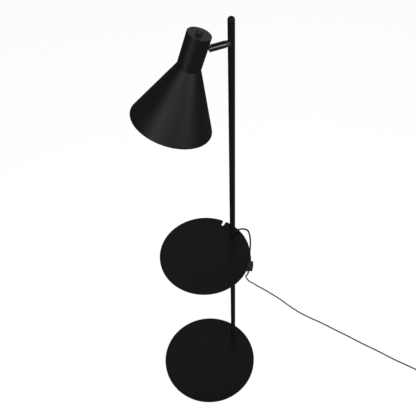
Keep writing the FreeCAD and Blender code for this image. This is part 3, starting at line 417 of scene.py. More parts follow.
powder_black = finish_of("powder_black", (0.0036, 0.0037, 0.0037), (0.0056, 0.0057, 0.0057), 0.48, 1100, 4e-5,
                         specular=0.28, dust=0.02)
disc_black = finish_of("disc_black", (0.0022, 0.0027, 0.0025), (0.0040, 0.0045, 0.0042), 0.28, 1100, 2e-5,
                       specular=0.85, dust=0.01)
# Painted sheen: the cap's colour is a lighter grey than the neck's paint and stands in for its reflection.
cap_black_painted_sheen = finish_of("cap_black_painted_sheen", (0.0085, 0.0086, 0.0086), (0.0125, 0.0126, 0.0126), 0.40, 1400, 3e-5,
                      specular=0.45, dust=0.03)
gloss_black = finish_of("gloss_black", (0.004, 0.004, 0.004), (0.006, 0.006, 0.006), 0.14, 500, 4e-6,
                        specular=0.5, coat=0.6, drift=0.03, dust=0.02)
# Painted sheen: the collar's grey colour stands in for the soft highlight on the arm's root.
collar_grey_painted_sheen = finish_of("collar_grey_painted_sheen", (0.022, 0.022, 0.022), (0.034, 0.034, 0.033), 0.36, 1300, 2e-5,
                        specular=0.5, dust=0.02)
shade_white = finish_of("shade_white", (0.76, 0.75, 0.72), (0.83, 0.82, 0.79), 0.52, 900, 3e-5,
                        specular=0.4, dust=0.05, dust_tone=(0.5, 0.48, 0.44))
print("paints:", [m.name for m in bpy.data.materials])

# %% Plastics, rubber and metals
cord_skin = finish_of("cord_skin", (0.008, 0.008, 0.008), (0.013, 0.013, 0.013), 0.44, 2600, 5e-5,
                      specular=0.4, clouding=30, dust=0.10)
moulded_black = finish_of("moulded_black", (0.014, 0.014, 0.0145), (0.021, 0.021, 0.0215), 0.40, 2200, 5e-5,
                          specular=0.5, clouding=40, dust=0.08)
housing_black = finish_of("housing_black", (0.024, 0.024, 0.0245), (0.033, 0.033, 0.0335), 0.44, 2200, 5e-5,
                          specular=0.5, clouding=40, dust=0.08)
dome_black = finish_of("dome_black", (0.0055, 0.0056, 0.0056), (0.0075, 0.0076, 0.0076), 0.62, 1100, 4e-5,
                       specular=0.20, dust=0.02)
soft_rubber = finish_of("soft_rubber", (0.010, 0.010, 0.010), (0.018, 0.018, 0.018), 0.62, 2400, 6e-5,
                        specular=0.35, clouding=60, dust=0.15)
phenolic = finish_of("phenolic", (0.010, 0.009, 0.008), (0.018, 0.016, 0.014), 0.24, 700, 1e-5,
                     specular=0.5, clouding=50, dust=0.05)
felt_pad = finish_of("felt_pad", (0.010, 0.010, 0.010), (0.035, 0.035, 0.035), 0.92, 2600, 4e-4,
                     specular=0.15, clouding=180, dust=0.0)
zinc_plate = finish_of("zinc_plate", (0.46, 0.46, 0.47), (0.60, 0.60, 0.60), 0.30, 1600, 1e-5,
                       metallic=1.0, clouding=90, dust=0.05)
bright_nickel = finish_of("bright_nickel", (0.60, 0.58, 0.54), (0.70, 0.68, 0.64), 0.16, 900, 5e-6,
                          metallic=1.0, clouding=60, dust=0.03)
turned_brass = finish_of("turned_brass", (0.58, 0.40, 0.16), (0.72, 0.53, 0.25), 0.26, 1400, 1e-5,
                         metallic=1.0, clouding=70, dust=0.03)
dark_steel = finish_of("dark_steel", (0.030, 0.030, 0.032), (0.045, 0.045, 0.047), 0.38, 1400, 1e-5,
                       metallic=1.0, clouding=70, dust=0.03)
washer_nylon = finish_of("washer_nylon", (0.62, 0.61, 0.57), (0.74, 0.73, 0.69), 0.45, 1800, 2e-5, dust=0.05)
wire_brown = finish_of("wire_brown", (0.10, 0.045, 0.02), (0.16, 0.075, 0.035), 0.42, 1500, 2e-5, dust=0.0)
print("all finishes:", len(bpy.data.materials))


# %% Frosted glass
def frosted_glass_of(name):
    glass = bpy.data.materials.new(name)
    glass.use_nodes = True
    nodes, links = glass.node_tree.nodes, glass.node_tree.links
    shader = nodes["Principled BSDF"]
    shader.inputs["Transmission Weight"].default_value = 0.35
    shader.inputs["IOR"].default_value = 1.45
    skin = nodes.new("ShaderNodeGroup")
    skin.node_tree = fine_skin
    skin.inputs["Scale"].default_value = 900
    skin.inputs["Clouding"].default_value = 60
    tone = nodes.new("ShaderNodeMix")
    tone.data_type = "RGBA"
    tone.inputs["A"].default_value = (0.86, 0.86, 0.84, 1)
    tone.inputs["B"].default_value = (0.93, 0.93, 0.91, 1)
    rough = nodes.new("ShaderNodeMapRange")
    rough.inputs["To Min"].default_value = 0.42
    rough.inputs["To Max"].default_value = 0.52
    bump = nodes.new("ShaderNodeBump")
    bump.inputs["Distance"].default_value = 1e-5
    links.new(skin.outputs["Clouds"], tone.inputs["Factor"])
    links.new(tone.outputs["Result"], shader.inputs["Base Color"])
    links.new(skin.outputs["Clouds"], rough.inputs["Value"])
    links.new(rough.outputs["Result"], shader.inputs["Roughness"])
    links.new(skin.outputs["Height"], bump.inputs["Height"])
    links.new(bump.outputs["Normal"], shader.inputs["Normal"])
    return glass


frosted_glass = frosted_glass_of("frosted_glass")
print("glass:", frosted_glass.name)

# %% [markdown]
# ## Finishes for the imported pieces
#
# The pieces inside the lamp, and the plain turned ones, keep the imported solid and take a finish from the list
# below. The finish goes into the material slots that the object already has.

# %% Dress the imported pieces
finish_by_slot = {
    "satin_black_paint": powder_black, "gloss_black": gloss_black, "felt": felt_pad, "zinc_steel": zinc_plate,
    "brass": turned_brass, "nickel": bright_nickel, "nylon": washer_nylon, "black_phenolic": phenolic,
    "black_plastic": moulded_black, "black_rubber": soft_rubber, "cord_sheath": cord_skin,
    "wire_sleeve": wire_brown, "frosted_glass": frosted_glass,
}
finish_by_piece = {"tray_disc": disc_black, "neck_cap": cap_black_painted_sheen, "arm_collar": collar_grey_painted_sheen,
                   "hinge_pin": dark_steel}
for row in frame["record"]["subparts"]:
    finish = finish_by_piece.get(row["node"], finish_by_slot[row["material_slot"]])
    for slot in frame["nodes"][row["node"]].material_slots:
        slot.material = finish

# %% [markdown]
# ## Frames of the lamp's limbs
#
# Turned pieces are easiest to draw upright about their own axis and to set in place afterwards. Each limb
# therefore has a frame: the stand's is the pole's axis, the upper pole is turned a little about it, the arm
# leaves it forwards, and the head hangs tilted on the pin at the arm's end. The place ends up in the mesh,
# and the object itself stays at the origin.

# %% Frames
POLE_BEHIND = 0.117
ARM_HEIGHT = 1.3722
PIN_REACH = 0.0435
NECK_OFFSET = 0.0351
EXIT_HEIGHT = 0.703
POLE_TURN, ARM_ROLL, HEAD_TILT = -21, -3.5, -21.3


def turn_about(axis, degrees):
    return Matrix.Rotation(math.radians(degrees), 4, axis)


stand_frame = Matrix.Translation((0, POLE_BEHIND, 0))
upper_frame = stand_frame @ turn_about("Z", POLE_TURN)
arm_root_frame = upper_frame @ Matrix.Translation((0, 0, ARM_HEIGHT))
arm_frame = arm_root_frame @ turn_about("Y", ARM_ROLL)
head_frame = arm_frame @ Matrix.Translation((0, -PIN_REACH, 0)) @ turn_about("X", HEAD_TILT)
neck_frame = head_frame @ Matrix.Translation((0, -NECK_OFFSET, 0))
forwards = turn_about("X", 90)
backwards = turn_about("X", -90)
exit_frame = upper_frame @ Matrix.Translation((0, 0, EXIT_HEIGHT)) @ backwards
along_root, along_arm = arm_root_frame @ forwards, arm_frame @ forwards
print("head's axis", [round(x, 3) for x in neck_frame.col[2][:3]])

# %% [markdown]
# ## How a piece is made
#
# Nearly every piece of a lamp is turned or spun, so the main helper draws half of a section, rounds its
# corners and spins it. Closed sections give tubes, and sections that touch the axis give solids. A second
# helper takes material away where one piece lets another through. Smaller ones bevel edges and pull a flat
# outline up into a block. The last one shades the piece smooth, keeps its sharp edges, and says on which body
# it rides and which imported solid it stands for.

# %% Spin a section
MERGE_REACH = 2e-6


def outline_in(bm, corners, closed):
    verts = [bm.verts.new((radius, 0, height)) for radius, height in corners]
    for first, second in zip(verts, verts[1:]):
        bm.edges.new((first, second))
    if closed:
        bm.edges.new((verts[-1], verts[0]))
    return verts


def round_corners(bm, verts, eased):
    for index, reach, segments in eased:
        bmesh.ops.bevel(bm, geom=[verts[index]], offset=reach, segments=segments, profile=0.5,
                        affect="VERTICES", material=-1)


def spin_round(bm, steps):
    bmesh.ops.spin(bm, geom=bm.verts[:] + bm.edges[:], axis=(0, 0, 1), cent=(0, 0, 0), angle=2 * math.pi,
                   steps=steps, use_merge=True)
    bmesh.ops.remove_doubles(bm, verts=bm.verts, dist=MERGE_REACH)
    bmesh.ops.recalc_face_normals(bm, faces=bm.faces)


def spun(corners, place, eased=(), steps=96, closed=False):
    bm = bmesh.new()
    verts = outline_in(bm, corners, closed)
    round_corners(bm, verts, eased)
    spin_round(bm, steps)
    bm.transform(place)
    return bm


def tube(outer, bore, low, high, place, ease, steps=64):
    eased = [(index, ease, 2) for index in range(4)]
    return spun([(outer, low), (outer, high), (bore, high), (bore, low)], place, eased, steps, closed=True)


def rod(radius, low, high, place, steps=48):
    return spun([(0, low), (radius, low), (radius, high), (0, high)], place, (), steps)


print("spinning ready")


# %% Bring a mesh into the scene, cut it and join it
def as_piece(name, bm):
    mesh = bpy.data.meshes.new(name)
    bm.to_mesh(mesh)
    bm.free()
    piece = bpy.data.objects.new(name, mesh)
    bpy.context.scene.collection.objects.link(piece)
    return piece


def applied(piece):
    shape = piece.evaluated_get(bpy.context.evaluated_depsgraph_get())
    made = bpy.data.meshes.new_from_object(shape)
    piece.modifiers.clear()
    worn = piece.data
    piece.data = made
    bpy.data.meshes.remove(worn)
    made.name = piece.name


def combine(piece, bm, operation):
    other = as_piece("other", bm)
    change = piece.modifiers.new("change", "BOOLEAN")
    change.object = other
    change.operation = operation
    change.solver = "EXACT"
    applied(piece)
    shape = other.data
    bpy.data.objects.remove(other)
    bpy.data.meshes.remove(shape)


def cut_away(piece, bm):
    combine(piece, bm, "DIFFERENCE")


def join_on(piece, bm):
    combine(piece, bm, "UNION")


print("cutting ready")

# %% Ease and pull edges and faces
SHARP_FROM = math.radians(60)
OVERRUN = 0.002


def is_sharp(edge):
    return edge.calc_face_angle() > SHARP_FROM


def rise(edge):
    return abs(edge.verts[0].co.z - edge.verts[1].co.z)


def bevel_edges(bm, edges, reach, segments):
    bmesh.ops.bevel(bm, geom=edges, offset=reach, segments=segments, profile=0.5, affect="EDGES", material=-1)


def pull_up(bm, faces, way):
    grown = bmesh.ops.extrude_face_region(bm, geom=faces)
    moved = [part for part in grown["geom"] if isinstance(part, bmesh.types.BMVert)]
    bmesh.ops.translate(bm, vec=way, verts=moved)
    bmesh.ops.recalc_face_normals(bm, faces=bm.faces)


def ease_edges(piece, chosen, reach):
    bm = bmesh.new()
    bm.from_mesh(piece.data)
    edges = [edge for edge in bm.edges if edge.is_manifold and chosen(edge)]
    bevel_edges(bm, edges, reach, 2)
    bm.to_mesh(piece.data)
    bm.free()
    return len(edges)


print("edges count as sharp from", round(math.degrees(SHARP_FROM)), "degrees")


def dress(piece, finish, body, *nodes, crease=32):
    mesh = piece.data
    mesh.shade_smooth()
    mesh.set_sharp_from_angle(angle=math.radians(crease))
    even = piece.modifiers.new("even_shading", "WEIGHTED_NORMAL")
    even.keep_sharp = True
    applied(piece)
    if not piece.data.materials:
        piece.data.materials.append(finish)
    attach(piece, body)
    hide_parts(*nodes)
    triangles = sum(len(face.vertices) - 2 for face in piece.data.polygons)
    print(piece.name, triangles, "triangles, stands for", ", ".join(nodes))


# %% [markdown]
# ## Base plate
#
# The foot is a disc of plate steel, 320 mm across and 6 mm thick, cut and edge-ground, then powder coated. A
# screw comes up through it into the pole, so its underside has a countersunk hole. The disc is spun, and a
# spun cone takes the hole away.

# %% Base plate
BASE_RADIUS, BASE_LOW, BASE_TOP = 0.160, 0.002, 0.008
BASE_LOW_EASE, BASE_TOP_EASE = 0.0003, 0.0005
SINK_RADIUS, BOLT_HOLE, SINK_LOW, SINK_TOP, PAST_BASE = 0.009, 0.00405, 0.001, 0.00595, 0.010
base_plate = as_piece("base_plate", spun(
    [(0, BASE_LOW), (BASE_RADIUS, BASE_LOW), (BASE_RADIUS, BASE_TOP), (0, BASE_TOP)], Matrix(),
    [(1, BASE_LOW_EASE, 2), (2, BASE_TOP_EASE, 3)], steps=192))
cut_away(base_plate, spun(
    [(0, SINK_LOW), (SINK_RADIUS, SINK_LOW), (BOLT_HOLE, SINK_TOP), (BOLT_HOLE, PAST_BASE), (0, PAST_BASE)],
    stand_frame, steps=48))
dress(base_plate, disc_black, "stand", "base_disc")

# %% [markdown]
# ## Tray
#
# The tray is a 3 mm disc that the two lengths of pole grip between them. A slot in its rear rim lets a cable
# through: it is round at its inner end, and its mouth is eased so that it doesn't catch. The slot's shape is
# drawn flat, its corners are rounded, and it is pulled up into a block that cuts the disc.

# %% Tray
TRAY_RADIUS, TRAY_LOW, TRAY_TOP, TRAY_EASE = 0.1255, 0.693, 0.696, 0.00035
TRAY_BEHIND, SLOT_TURN = 0.012, 21.3
SLOT_HALF, SLOT_END, SLOT_MOUTH, MOUTH_EASE = 0.0037, 0.109, 0.1253, 0.0045
PAST_RIM, PAST_RIM_HALF, END_ROUND_SHARE, SLOT_CUT = 0.135, 0.014, 0.98, 0.007
SCREW_WAY, PAST_TRAY, LEVEL_WITHIN = 0.00505, 0.001, 1e-5
tray_frame = Matrix.Translation((0, TRAY_BEHIND, 0)) @ turn_about("Z", SLOT_TURN)


def slot_block():
    bm = bmesh.new()
    places = [(-SLOT_HALF, SLOT_END), (SLOT_HALF, SLOT_END), (SLOT_HALF, SLOT_MOUTH),
              (PAST_RIM_HALF, SLOT_MOUTH), (PAST_RIM_HALF, PAST_RIM), (-PAST_RIM_HALF, PAST_RIM),
              (-PAST_RIM_HALF, SLOT_MOUTH), (-SLOT_HALF, SLOT_MOUTH)]
    verts = [bm.verts.new((x, y, TRAY_LOW - OVERRUN)) for x, y in places]
    bm.faces.new(verts)
    end_round = SLOT_HALF * END_ROUND_SHARE
    round_corners(bm, verts, [(0, end_round, 8), (1, end_round, 8), (2, MOUTH_EASE, 8), (7, MOUTH_EASE, 8)])
    pull_up(bm, bm.faces[:], (0, 0, SLOT_CUT))
    bm.transform(tray_frame)
    return bm


def is_rim_edge(edge):
    return is_sharp(edge) and rise(edge) < LEVEL_WITHIN


tray = as_piece("tray", rod(TRAY_RADIUS, TRAY_LOW, TRAY_TOP, tray_frame, steps=192))
cut_away(tray, slot_block())
rim_edges = ease_edges(tray, is_rim_edge, TRAY_EASE)
cut_away(tray, rod(SCREW_WAY, TRAY_LOW - PAST_TRAY, TRAY_TOP + PAST_TRAY, stand_frame))
print("tray's eased edges:", rim_edges)
dress(tray, disc_black, "stand", "tray_disc")

# %% [markdown]
# ## Pole
#
# Two lengths of 15 mm steel tube with a 1 mm wall. The upper one has a hole at its back for the cord and one
# in front for the arm, and a domed plug closes its top.

# %% Lower and upper pole
TUBE_RADIUS, TUBE_BORE, TUBE_TOP, TUBE_EASE = 0.0075, 0.0065, 1.4269, 0.0002
ARM_HOLE, CORD_HOLE, HOLE_REACH, FIT_GAP = 0.0042, 0.0038, 0.012, 0.00005
lower = as_piece("pole_lower_length", tube(
    TUBE_RADIUS, TUBE_BORE, BASE_TOP, TRAY_LOW, stand_frame, ease=TUBE_EASE))
dress(lower, powder_black, "stand", "lower_pole")
upper = as_piece("pole_upper_length", tube(
    TUBE_RADIUS, TUBE_BORE, TRAY_TOP, TUBE_TOP, upper_frame, ease=TUBE_EASE))
cut_away(upper, rod(ARM_HOLE, 0, HOLE_REACH, along_root))
cut_away(upper, rod(CORD_HOLE, 0, HOLE_REACH, exit_frame))
dress(upper, powder_black, "stand", "upper_pole")

# %% Domed end cap
DOME_HEIGHT, DOME_ROUND_SHARE, STOPPER_DEPTH = 0.0076, 0.97, 0.012
dome_top, stopper_low = TUBE_TOP + DOME_HEIGHT, TUBE_TOP - STOPPER_DEPTH
stopper_radius = TUBE_BORE - FIT_GAP
dome = as_piece("pole_dome", spun(
    [(0, stopper_low), (stopper_radius, stopper_low), (stopper_radius, TUBE_TOP), (TUBE_RADIUS, TUBE_TOP),
     (TUBE_RADIUS, dome_top), (0, dome_top)],
    upper_frame, [(3, TUBE_EASE, 2), (4, TUBE_RADIUS * DOME_ROUND_SHARE, 12)], steps=64))
dress(dome, dome_black, "stand", "pole_end_cap")

# %% [markdown]
# ## Cord's relief
#
# A short rubber sleeve keeps the cord from kinking where it leaves the pole. Its flange hugs the tube, and
# two rings let the taper bend.

# %% Relief at the exit
FLANGE_EASE, TIP_EASE, SADDLE_REACH = 0.0006, 0.0003, 0.02
RELIEF_OUTLINE = [
    (0.00245, 0.0045), (0.0050, 0.0045), (0.0050, 0.0091), (0.0037, 0.0091), (0.0036, 0.0102),
    (0.0041, 0.0104), (0.0041, 0.0114), (0.0035, 0.0116), (0.0034, 0.0127), (0.0039, 0.0129),
    (0.0038, 0.0139), (0.0033, 0.0141), (0.0032, 0.0170), (0.00245, 0.0170)]
relief = as_piece("exit_relief", spun(
    RELIEF_OUTLINE, exit_frame, [(2, FLANGE_EASE, 3), (12, TIP_EASE, 2)], steps=40, closed=True))
cut_away(relief, rod(TUBE_RADIUS + FIT_GAP, EXIT_HEIGHT - SADDLE_REACH, EXIT_HEIGHT + SADDLE_REACH,
                     upper_frame, steps=64))
dress(relief, soft_rubber, "stand", "cord_relief", crease=40)

# %% [markdown]
# ## Arm
#
# A narrow matt collar stands on the pole, and a glossy black barrel screws on to it. The collar's grey colour
# is a painted sheen. The barrel's end is slotted into a fork, which clamps the head's tongue and lets the head
# tilt. Gloss on so small a cylinder shows as one thin bright line, so its edges are well rounded.

# %% Root collar
COLLAR_RADIUS, NIPPLE_WAY, BARREL_START = 0.0067, 0.00405, 0.0125
collar = as_piece("arm_root_collar", tube(
    COLLAR_RADIUS, NIPPLE_WAY, 0, BARREL_START, along_root, ease=TUBE_EASE))
cut_away(collar, rod(TUBE_RADIUS + FIT_GAP, -SADDLE_REACH, SADDLE_REACH, arm_root_frame, steps=64))
dress(collar, collar_grey_painted_sheen, "stand", "arm_collar")

# %% Forked barrel
BARREL_RADIUS, BARREL_END, BARREL_EASE = 0.0075, 0.0485, 0.0006
NIPPLE_END, WIRE_WAY, WIRE_FROM, PIN_HOLE = 0.021, 0.0026, 0.020, 0.00205
FORK_HALF, FORK_DEPTH, PAST_BARREL = 0.0027, 0.011, 0.01


def block(low, high, place):
    bm = bmesh.new()
    bmesh.ops.create_cube(bm, size=1)
    size = Vector(high) - Vector(low)
    bmesh.ops.scale(bm, vec=size, verts=bm.verts)
    bmesh.ops.translate(bm, vec=(Vector(high) + Vector(low)) / 2, verts=bm.verts)
    bm.transform(place)
    return bm


barrel = as_piece("arm_forked_barrel", spun(
    [(0, BARREL_START), (BARREL_RADIUS, BARREL_START), (BARREL_RADIUS, BARREL_END), (0, BARREL_END)],
    along_arm, [(1, BARREL_EASE, 4), (2, BARREL_EASE, 4)], steps=96))
cut_away(barrel, rod(NIPPLE_WAY, BARREL_START - OVERRUN, NIPPLE_END, along_arm))
cut_away(barrel, rod(WIRE_WAY, WIRE_FROM, BARREL_END + OVERRUN, along_arm))
cut_away(barrel, block((-FORK_HALF, -BARREL_END - OVERRUN, -PAST_BARREL),
                       (FORK_HALF, FORK_DEPTH - BARREL_END, PAST_BARREL), arm_frame))
along_pin = Matrix.Translation((0, -PIN_REACH, 0)) @ turn_about("Y", 90)
cut_away(barrel, rod(PIN_HOLE, -PAST_BARREL, PAST_BARREL, arm_frame @ along_pin))
dress(barrel, gloss_black, "stand", "arm_barrel")

# %% [markdown]
# ## Neck and its cap
#
# The neck is a tube of 1 mm steel, closed on top by a flat spun cap with a rolled edge. The cap faces back up
# at the room's pale walls, and its colour is also a lighter grey than the neck's, a painted sheen, so it reads
# as dark grey where the neck is black.

# %% Neck and cap
NECK_RADIUS, NECK_BORE, NECK_LOW, NECK_TOP, CAP_THICK = 0.0258, 0.0248, -0.0454, 0.0301, 0.0014
TONGUE_HOLE, TONGUE_FROM, TONGUE_PAST, NECK_EASE = 0.00415, 0.015, 0.03, 0.00025
CAP_HOLE, CAP_ROLL, SKIRT_DEPTH, SKIRT_WALL = 0.0051, 0.0009, 0.006, 0.0009
cap_low = NECK_TOP - CAP_THICK
neck = as_piece("neck_tube", tube(
    NECK_RADIUS, NECK_BORE, NECK_LOW, cap_low, neck_frame, ease=NECK_EASE, steps=128))
cut_away(neck, rod(TONGUE_HOLE, TONGUE_FROM, TONGUE_PAST, neck_frame @ backwards))
dress(neck, powder_black, "head", "neck_shell")
skirt_low, skirt_outer = cap_low - SKIRT_DEPTH, NECK_BORE - FIT_GAP
skirt_bore = skirt_outer - SKIRT_WALL
cap = as_piece("neck_lid", spun(
    [(CAP_HOLE, cap_low), (CAP_HOLE, NECK_TOP), (NECK_RADIUS, NECK_TOP), (NECK_RADIUS, cap_low),
     (skirt_outer, cap_low), (skirt_outer, skirt_low), (skirt_bore, skirt_low), (skirt_bore, cap_low)],
    neck_frame, [(2, CAP_ROLL, 5), (3, NECK_EASE, 2)], steps=128, closed=True))
dress(cap, cap_black_painted_sheen, "head", "neck_cap")

# %% [markdown]
# ## Cone shade
#
# The cone is spun from sheet and pushed into the neck on a short spigot, so that a fine seam shows where the
# two meet. Its mouth is turned in to a small rounded lip. The outside is black like the rest. The inside is
# white, as such shades have it, to throw the light down.

# %% Cone shade
CONE_HEIGHT, CONE_RADIUS, CONE_WALL, CONE_EASE = 0.140, 0.0914, 0.0009, 0.0003
LIP, SPIGOT, FACES_INWARDS = 0.0010, 0.008, -0.2
cone_rim = NECK_LOW - CONE_HEIGHT
cone_slope = (CONE_RADIUS - NECK_RADIUS) / CONE_HEIGHT
level_wall = CONE_WALL * math.sqrt(1 + cone_slope ** 2)
spigot_outer, spigot_bore, spigot_top = skirt_outer, skirt_outer - CONE_WALL, NECK_LOW + SPIGOT
inner_top = NECK_LOW - (spigot_bore - NECK_RADIUS + level_wall) / cone_slope
mouth_bore, lip_top = CONE_RADIUS - level_wall - LIP, cone_rim + LIP
shade = as_piece("shade_cone", spun(
    [(spigot_outer, spigot_top), (spigot_outer, NECK_LOW), (NECK_RADIUS, NECK_LOW), (CONE_RADIUS, cone_rim),
     (mouth_bore, cone_rim), (mouth_bore, lip_top), (CONE_RADIUS - level_wall - cone_slope * LIP, lip_top),
     (spigot_bore, inner_top), (spigot_bore, spigot_top)],
    neck_frame, [(corner, CONE_EASE, 2) for corner in (2, 3, 4, 5)], steps=192, closed=True))


def paint_inside(piece, outside, inside, place):
    piece.data.materials.append(outside)
    piece.data.materials.append(inside)
    to_axis = place.inverted()
    for face in piece.data.polygons:
        centre = to_axis @ face.center
        normal = to_axis.to_3x3() @ face.normal
        if normal.xy.dot(centre.xy.normalized()) < FACES_INWARDS:
            face.material_index = 1


paint_inside(shade, powder_black, shade_white, neck_frame)
dress(shade, powder_black, "head", "cone_shade")

# %% [markdown]
# ## Switch knob
#
# A low turned knob sits on the cap, over the nut that holds the rotary switch, and works that switch. Twelve
# flutes give it grip. The knob is spun with eight steps to a flute, and the steps in the middle of each flute
# are pulled inwards.

# %% Knob
KNOB_LOW, KNOB_TOP, KNOB_FOOT, KNOB_WAIST, KNOB_CROWN = 0.0304, 0.0380, 0.0072, 0.0071, 0.0066
FLUTES, FLUTE_STEPS, FLUTE_DEPTH, FLUTE_INSIDE = 12, 8, 0.00042, 0.0062
FLUTE_ABOVE_FOOT, FLUTE_BELOW_CROWN = 0.0008, 0.0002
NUT_ROOM, NUT_DEPTH, SHAFT_BORE, SHAFT_DEPTH = 0.0060, 0.0019, 0.00305, 0.0058
WAIST_RISE, FOOT_EASE, CROWN_EASE = 0.0010, 0.0003, 0.0012


def fluted(bm):
    low, high = KNOB_LOW + FLUTE_ABOVE_FOOT, KNOB_TOP - FLUTE_BELOW_CROWN
    for vert in bm.verts:
        if low < vert.co.z < high and vert.co.xy.length > FLUTE_INSIDE:
            swing = math.cos(FLUTES * math.atan2(vert.co.y, vert.co.x))
            pull = FLUTE_DEPTH * max(swing, 0) / vert.co.xy.length
            vert.co.x -= vert.co.x * pull
            vert.co.y -= vert.co.y * pull
    bmesh.ops.recalc_face_normals(bm, faces=bm.faces)
    bm.transform(neck_frame)
    return bm


shaft_top, nut_top = KNOB_LOW + SHAFT_DEPTH, KNOB_LOW + NUT_DEPTH
knob = as_piece("rotary_knob", fluted(spun(
    [(NUT_ROOM, KNOB_LOW), (KNOB_FOOT, KNOB_LOW), (KNOB_WAIST, KNOB_LOW + WAIST_RISE),
     (KNOB_CROWN, KNOB_TOP), (0, KNOB_TOP), (0, shaft_top), (SHAFT_BORE, shaft_top), (SHAFT_BORE, nut_top),
     (NUT_ROOM, nut_top)],
    Matrix(), [(1, FOOT_EASE, 2), (3, CROWN_EASE, 5)], steps=FLUTES * FLUTE_STEPS)))
dress(knob, moulded_black, "knob", "switch_knob", crease=50)

# %% [markdown]
# ## Lampholder and bulb
#
# Looking up into the shade one sees a black lampholder and a small frosted globe. The holder's skirt has
# raised rings for the fingers. The globe starts as one point that is swung round the ball's centre to draw
# its side, and the glass gets its wall after the normals point outwards.

# %% Lampholder
HOLDER_RADIUS, HOLDER_BORE, NIPPLE_HOLE, CROWN_RADIUS = 0.015, 0.0134, 0.00505, 0.0118
HOLDER_TOP, SHOULDER_LEVEL, BOSS_LOW, HOLDER_SEAM = -0.014, -0.0172, -0.022, -0.030
SHOULDER_EASE, SEAM_EASE = 0.0012, 0.0004
holder_top = as_piece("holder_dome", spun(
    [(NIPPLE_HOLE, HOLDER_TOP), (CROWN_RADIUS, HOLDER_TOP), (HOLDER_RADIUS, SHOULDER_LEVEL),
     (HOLDER_RADIUS, HOLDER_SEAM), (HOLDER_BORE, HOLDER_SEAM), (HOLDER_BORE, SHOULDER_LEVEL),
     (NIPPLE_HOLE, BOSS_LOW)],
    neck_frame, [(1, SHOULDER_EASE, 3), (2, SHOULDER_EASE, 3), (3, SEAM_EASE, 2)], steps=72, closed=True))
dress(holder_top, phenolic, "head", "lampholder_dome")

# %% Lampholder's ringed skirt
GRIP_RADIUS, GROOVE_RADIUS, GRIP_RINGS, RING_STEP = 0.0142, 0.0137, 5, 0.004
SLEEVE_RADIUS, SLEEVE_TOP, GRIP_LOW, HOLDER_LOW, HOLDER_LOW_EASE = 0.01335, -0.0284, -0.0534, -0.056, 0.0005
BULB_WAY, BULB_WAY_TOP, CONTACT_WAY, CONTACT_WAY_TOP = 0.00795, -0.039, 0.00255, -0.035
ONE_RING = [(GRIP_RADIUS, -0.0330), (GRIP_RADIUS, -0.0352),
            (GROOVE_RADIUS, -0.0356), (GROOVE_RADIUS, -0.0366)]
grip = [(radius, level - RING_STEP * ring) for ring in range(GRIP_RINGS) for radius, level in ONE_RING]
above_grip = [(0, SLEEVE_TOP), (SLEEVE_RADIUS, SLEEVE_TOP), (SLEEVE_RADIUS, HOLDER_SEAM),
              (GRIP_RADIUS, HOLDER_SEAM)]
below_grip = [(GRIP_RADIUS, GRIP_LOW), (GRIP_RADIUS, HOLDER_LOW), (BULB_WAY, HOLDER_LOW),
              (BULB_WAY, BULB_WAY_TOP), (CONTACT_WAY, BULB_WAY_TOP), (CONTACT_WAY, CONTACT_WAY_TOP),
              (0, CONTACT_WAY_TOP)]
low_corner = len(above_grip + grip) + 1
holder_skirt = as_piece("holder_skirt", spun(
    above_grip + grip + below_grip, neck_frame, [(low_corner, HOLDER_LOW_EASE, 3)], steps=72))
dress(holder_skirt, phenolic, "head", "lampholder_skirt")

# %% Bulb
BALL_CENTRE, BALL_RADIUS, BALL_SEAM, GLASS_WALL = -0.0925, 0.0225, 0.0135, 0.0008
GLASS_NECK = [(0.0068, -0.058), (0.0090, -0.0625), (0.018, -0.079)]
NECK_BEND_EASE = 0.0015


def globe():
    bm = bmesh.new()
    verts = outline_in(bm, GLASS_NECK, closed=False)
    round_corners(bm, verts, [(1, NECK_BEND_EASE, 4)])
    swing = math.pi / 2 + math.asin(BALL_SEAM / BALL_RADIUS)
    bmesh.ops.spin(bm, geom=[verts[2]], axis=(0, 1, 0), cent=(0, 0, BALL_CENTRE), angle=swing, steps=28)
    spin_round(bm, 72)
    bmesh.ops.solidify(bm, geom=bm.faces[:], thickness=GLASS_WALL)
    bm.transform(neck_frame)
    return bm


bulb = as_piece("bulb_glass", globe())
dress(bulb, frosted_glass, "head", "bulb_globe")

# %% [markdown]
# ## In-line switch
#
# The small switch on the cord is two moulded halves screwed together, with a tapered neck at each end and a
# rocker in its face. A block has its corners rounded in two rounds, the upright ones first, and takes on the
# necks. It is then cut in two at its middle, and the cut's edges are eased, which leaves the fine parting
# line that such a housing shows.

# %% Housing
switch_along = Vector((-0.126, 0.042, -0.991)).normalized()
switch_facing = Vector((0.72, -0.69, 0.0))
switch_facing = (switch_facing - switch_along * switch_facing.dot(switch_along)).normalized()
switch_across = switch_facing.cross(switch_along)
SWITCH_REACH = 0.032
switch_middle = Vector(upper_route[-1]) + switch_along * SWITCH_REACH
switch_frame = frame_at(switch_middle, switch_along, switch_across, switch_facing)
HOUSING_HALF = Vector((0.023, 0.011, 0.008))
CORNER_ROUND, RIM_ROUND, PARTING_EASE, UPRIGHT_RISE = 0.005, 0.0016, 0.0002, 0.001
WELL_LOW, WELL_HIGH = (-0.010, -0.005, 0.001), (0.010, 0.005, 0.02)
HEAD_WAY, HEAD_WAY_LOW, HEAD_WAY_TOP, SCREW_OFFSET = 0.0015, -0.012, -0.0072, 0.017
NECK_START = 0.0206
NECK_RINGS = [(0.0040, NECK_START), (0.0040, 0.0240), (0.0034, 0.0244), (0.0034, 0.0254), (0.0038, 0.0258),
              (0.0037, 0.0270), (0.0032, 0.0274), (0.0031, 0.0284), (0.0034, 0.0288), (0.0030, SWITCH_REACH)]


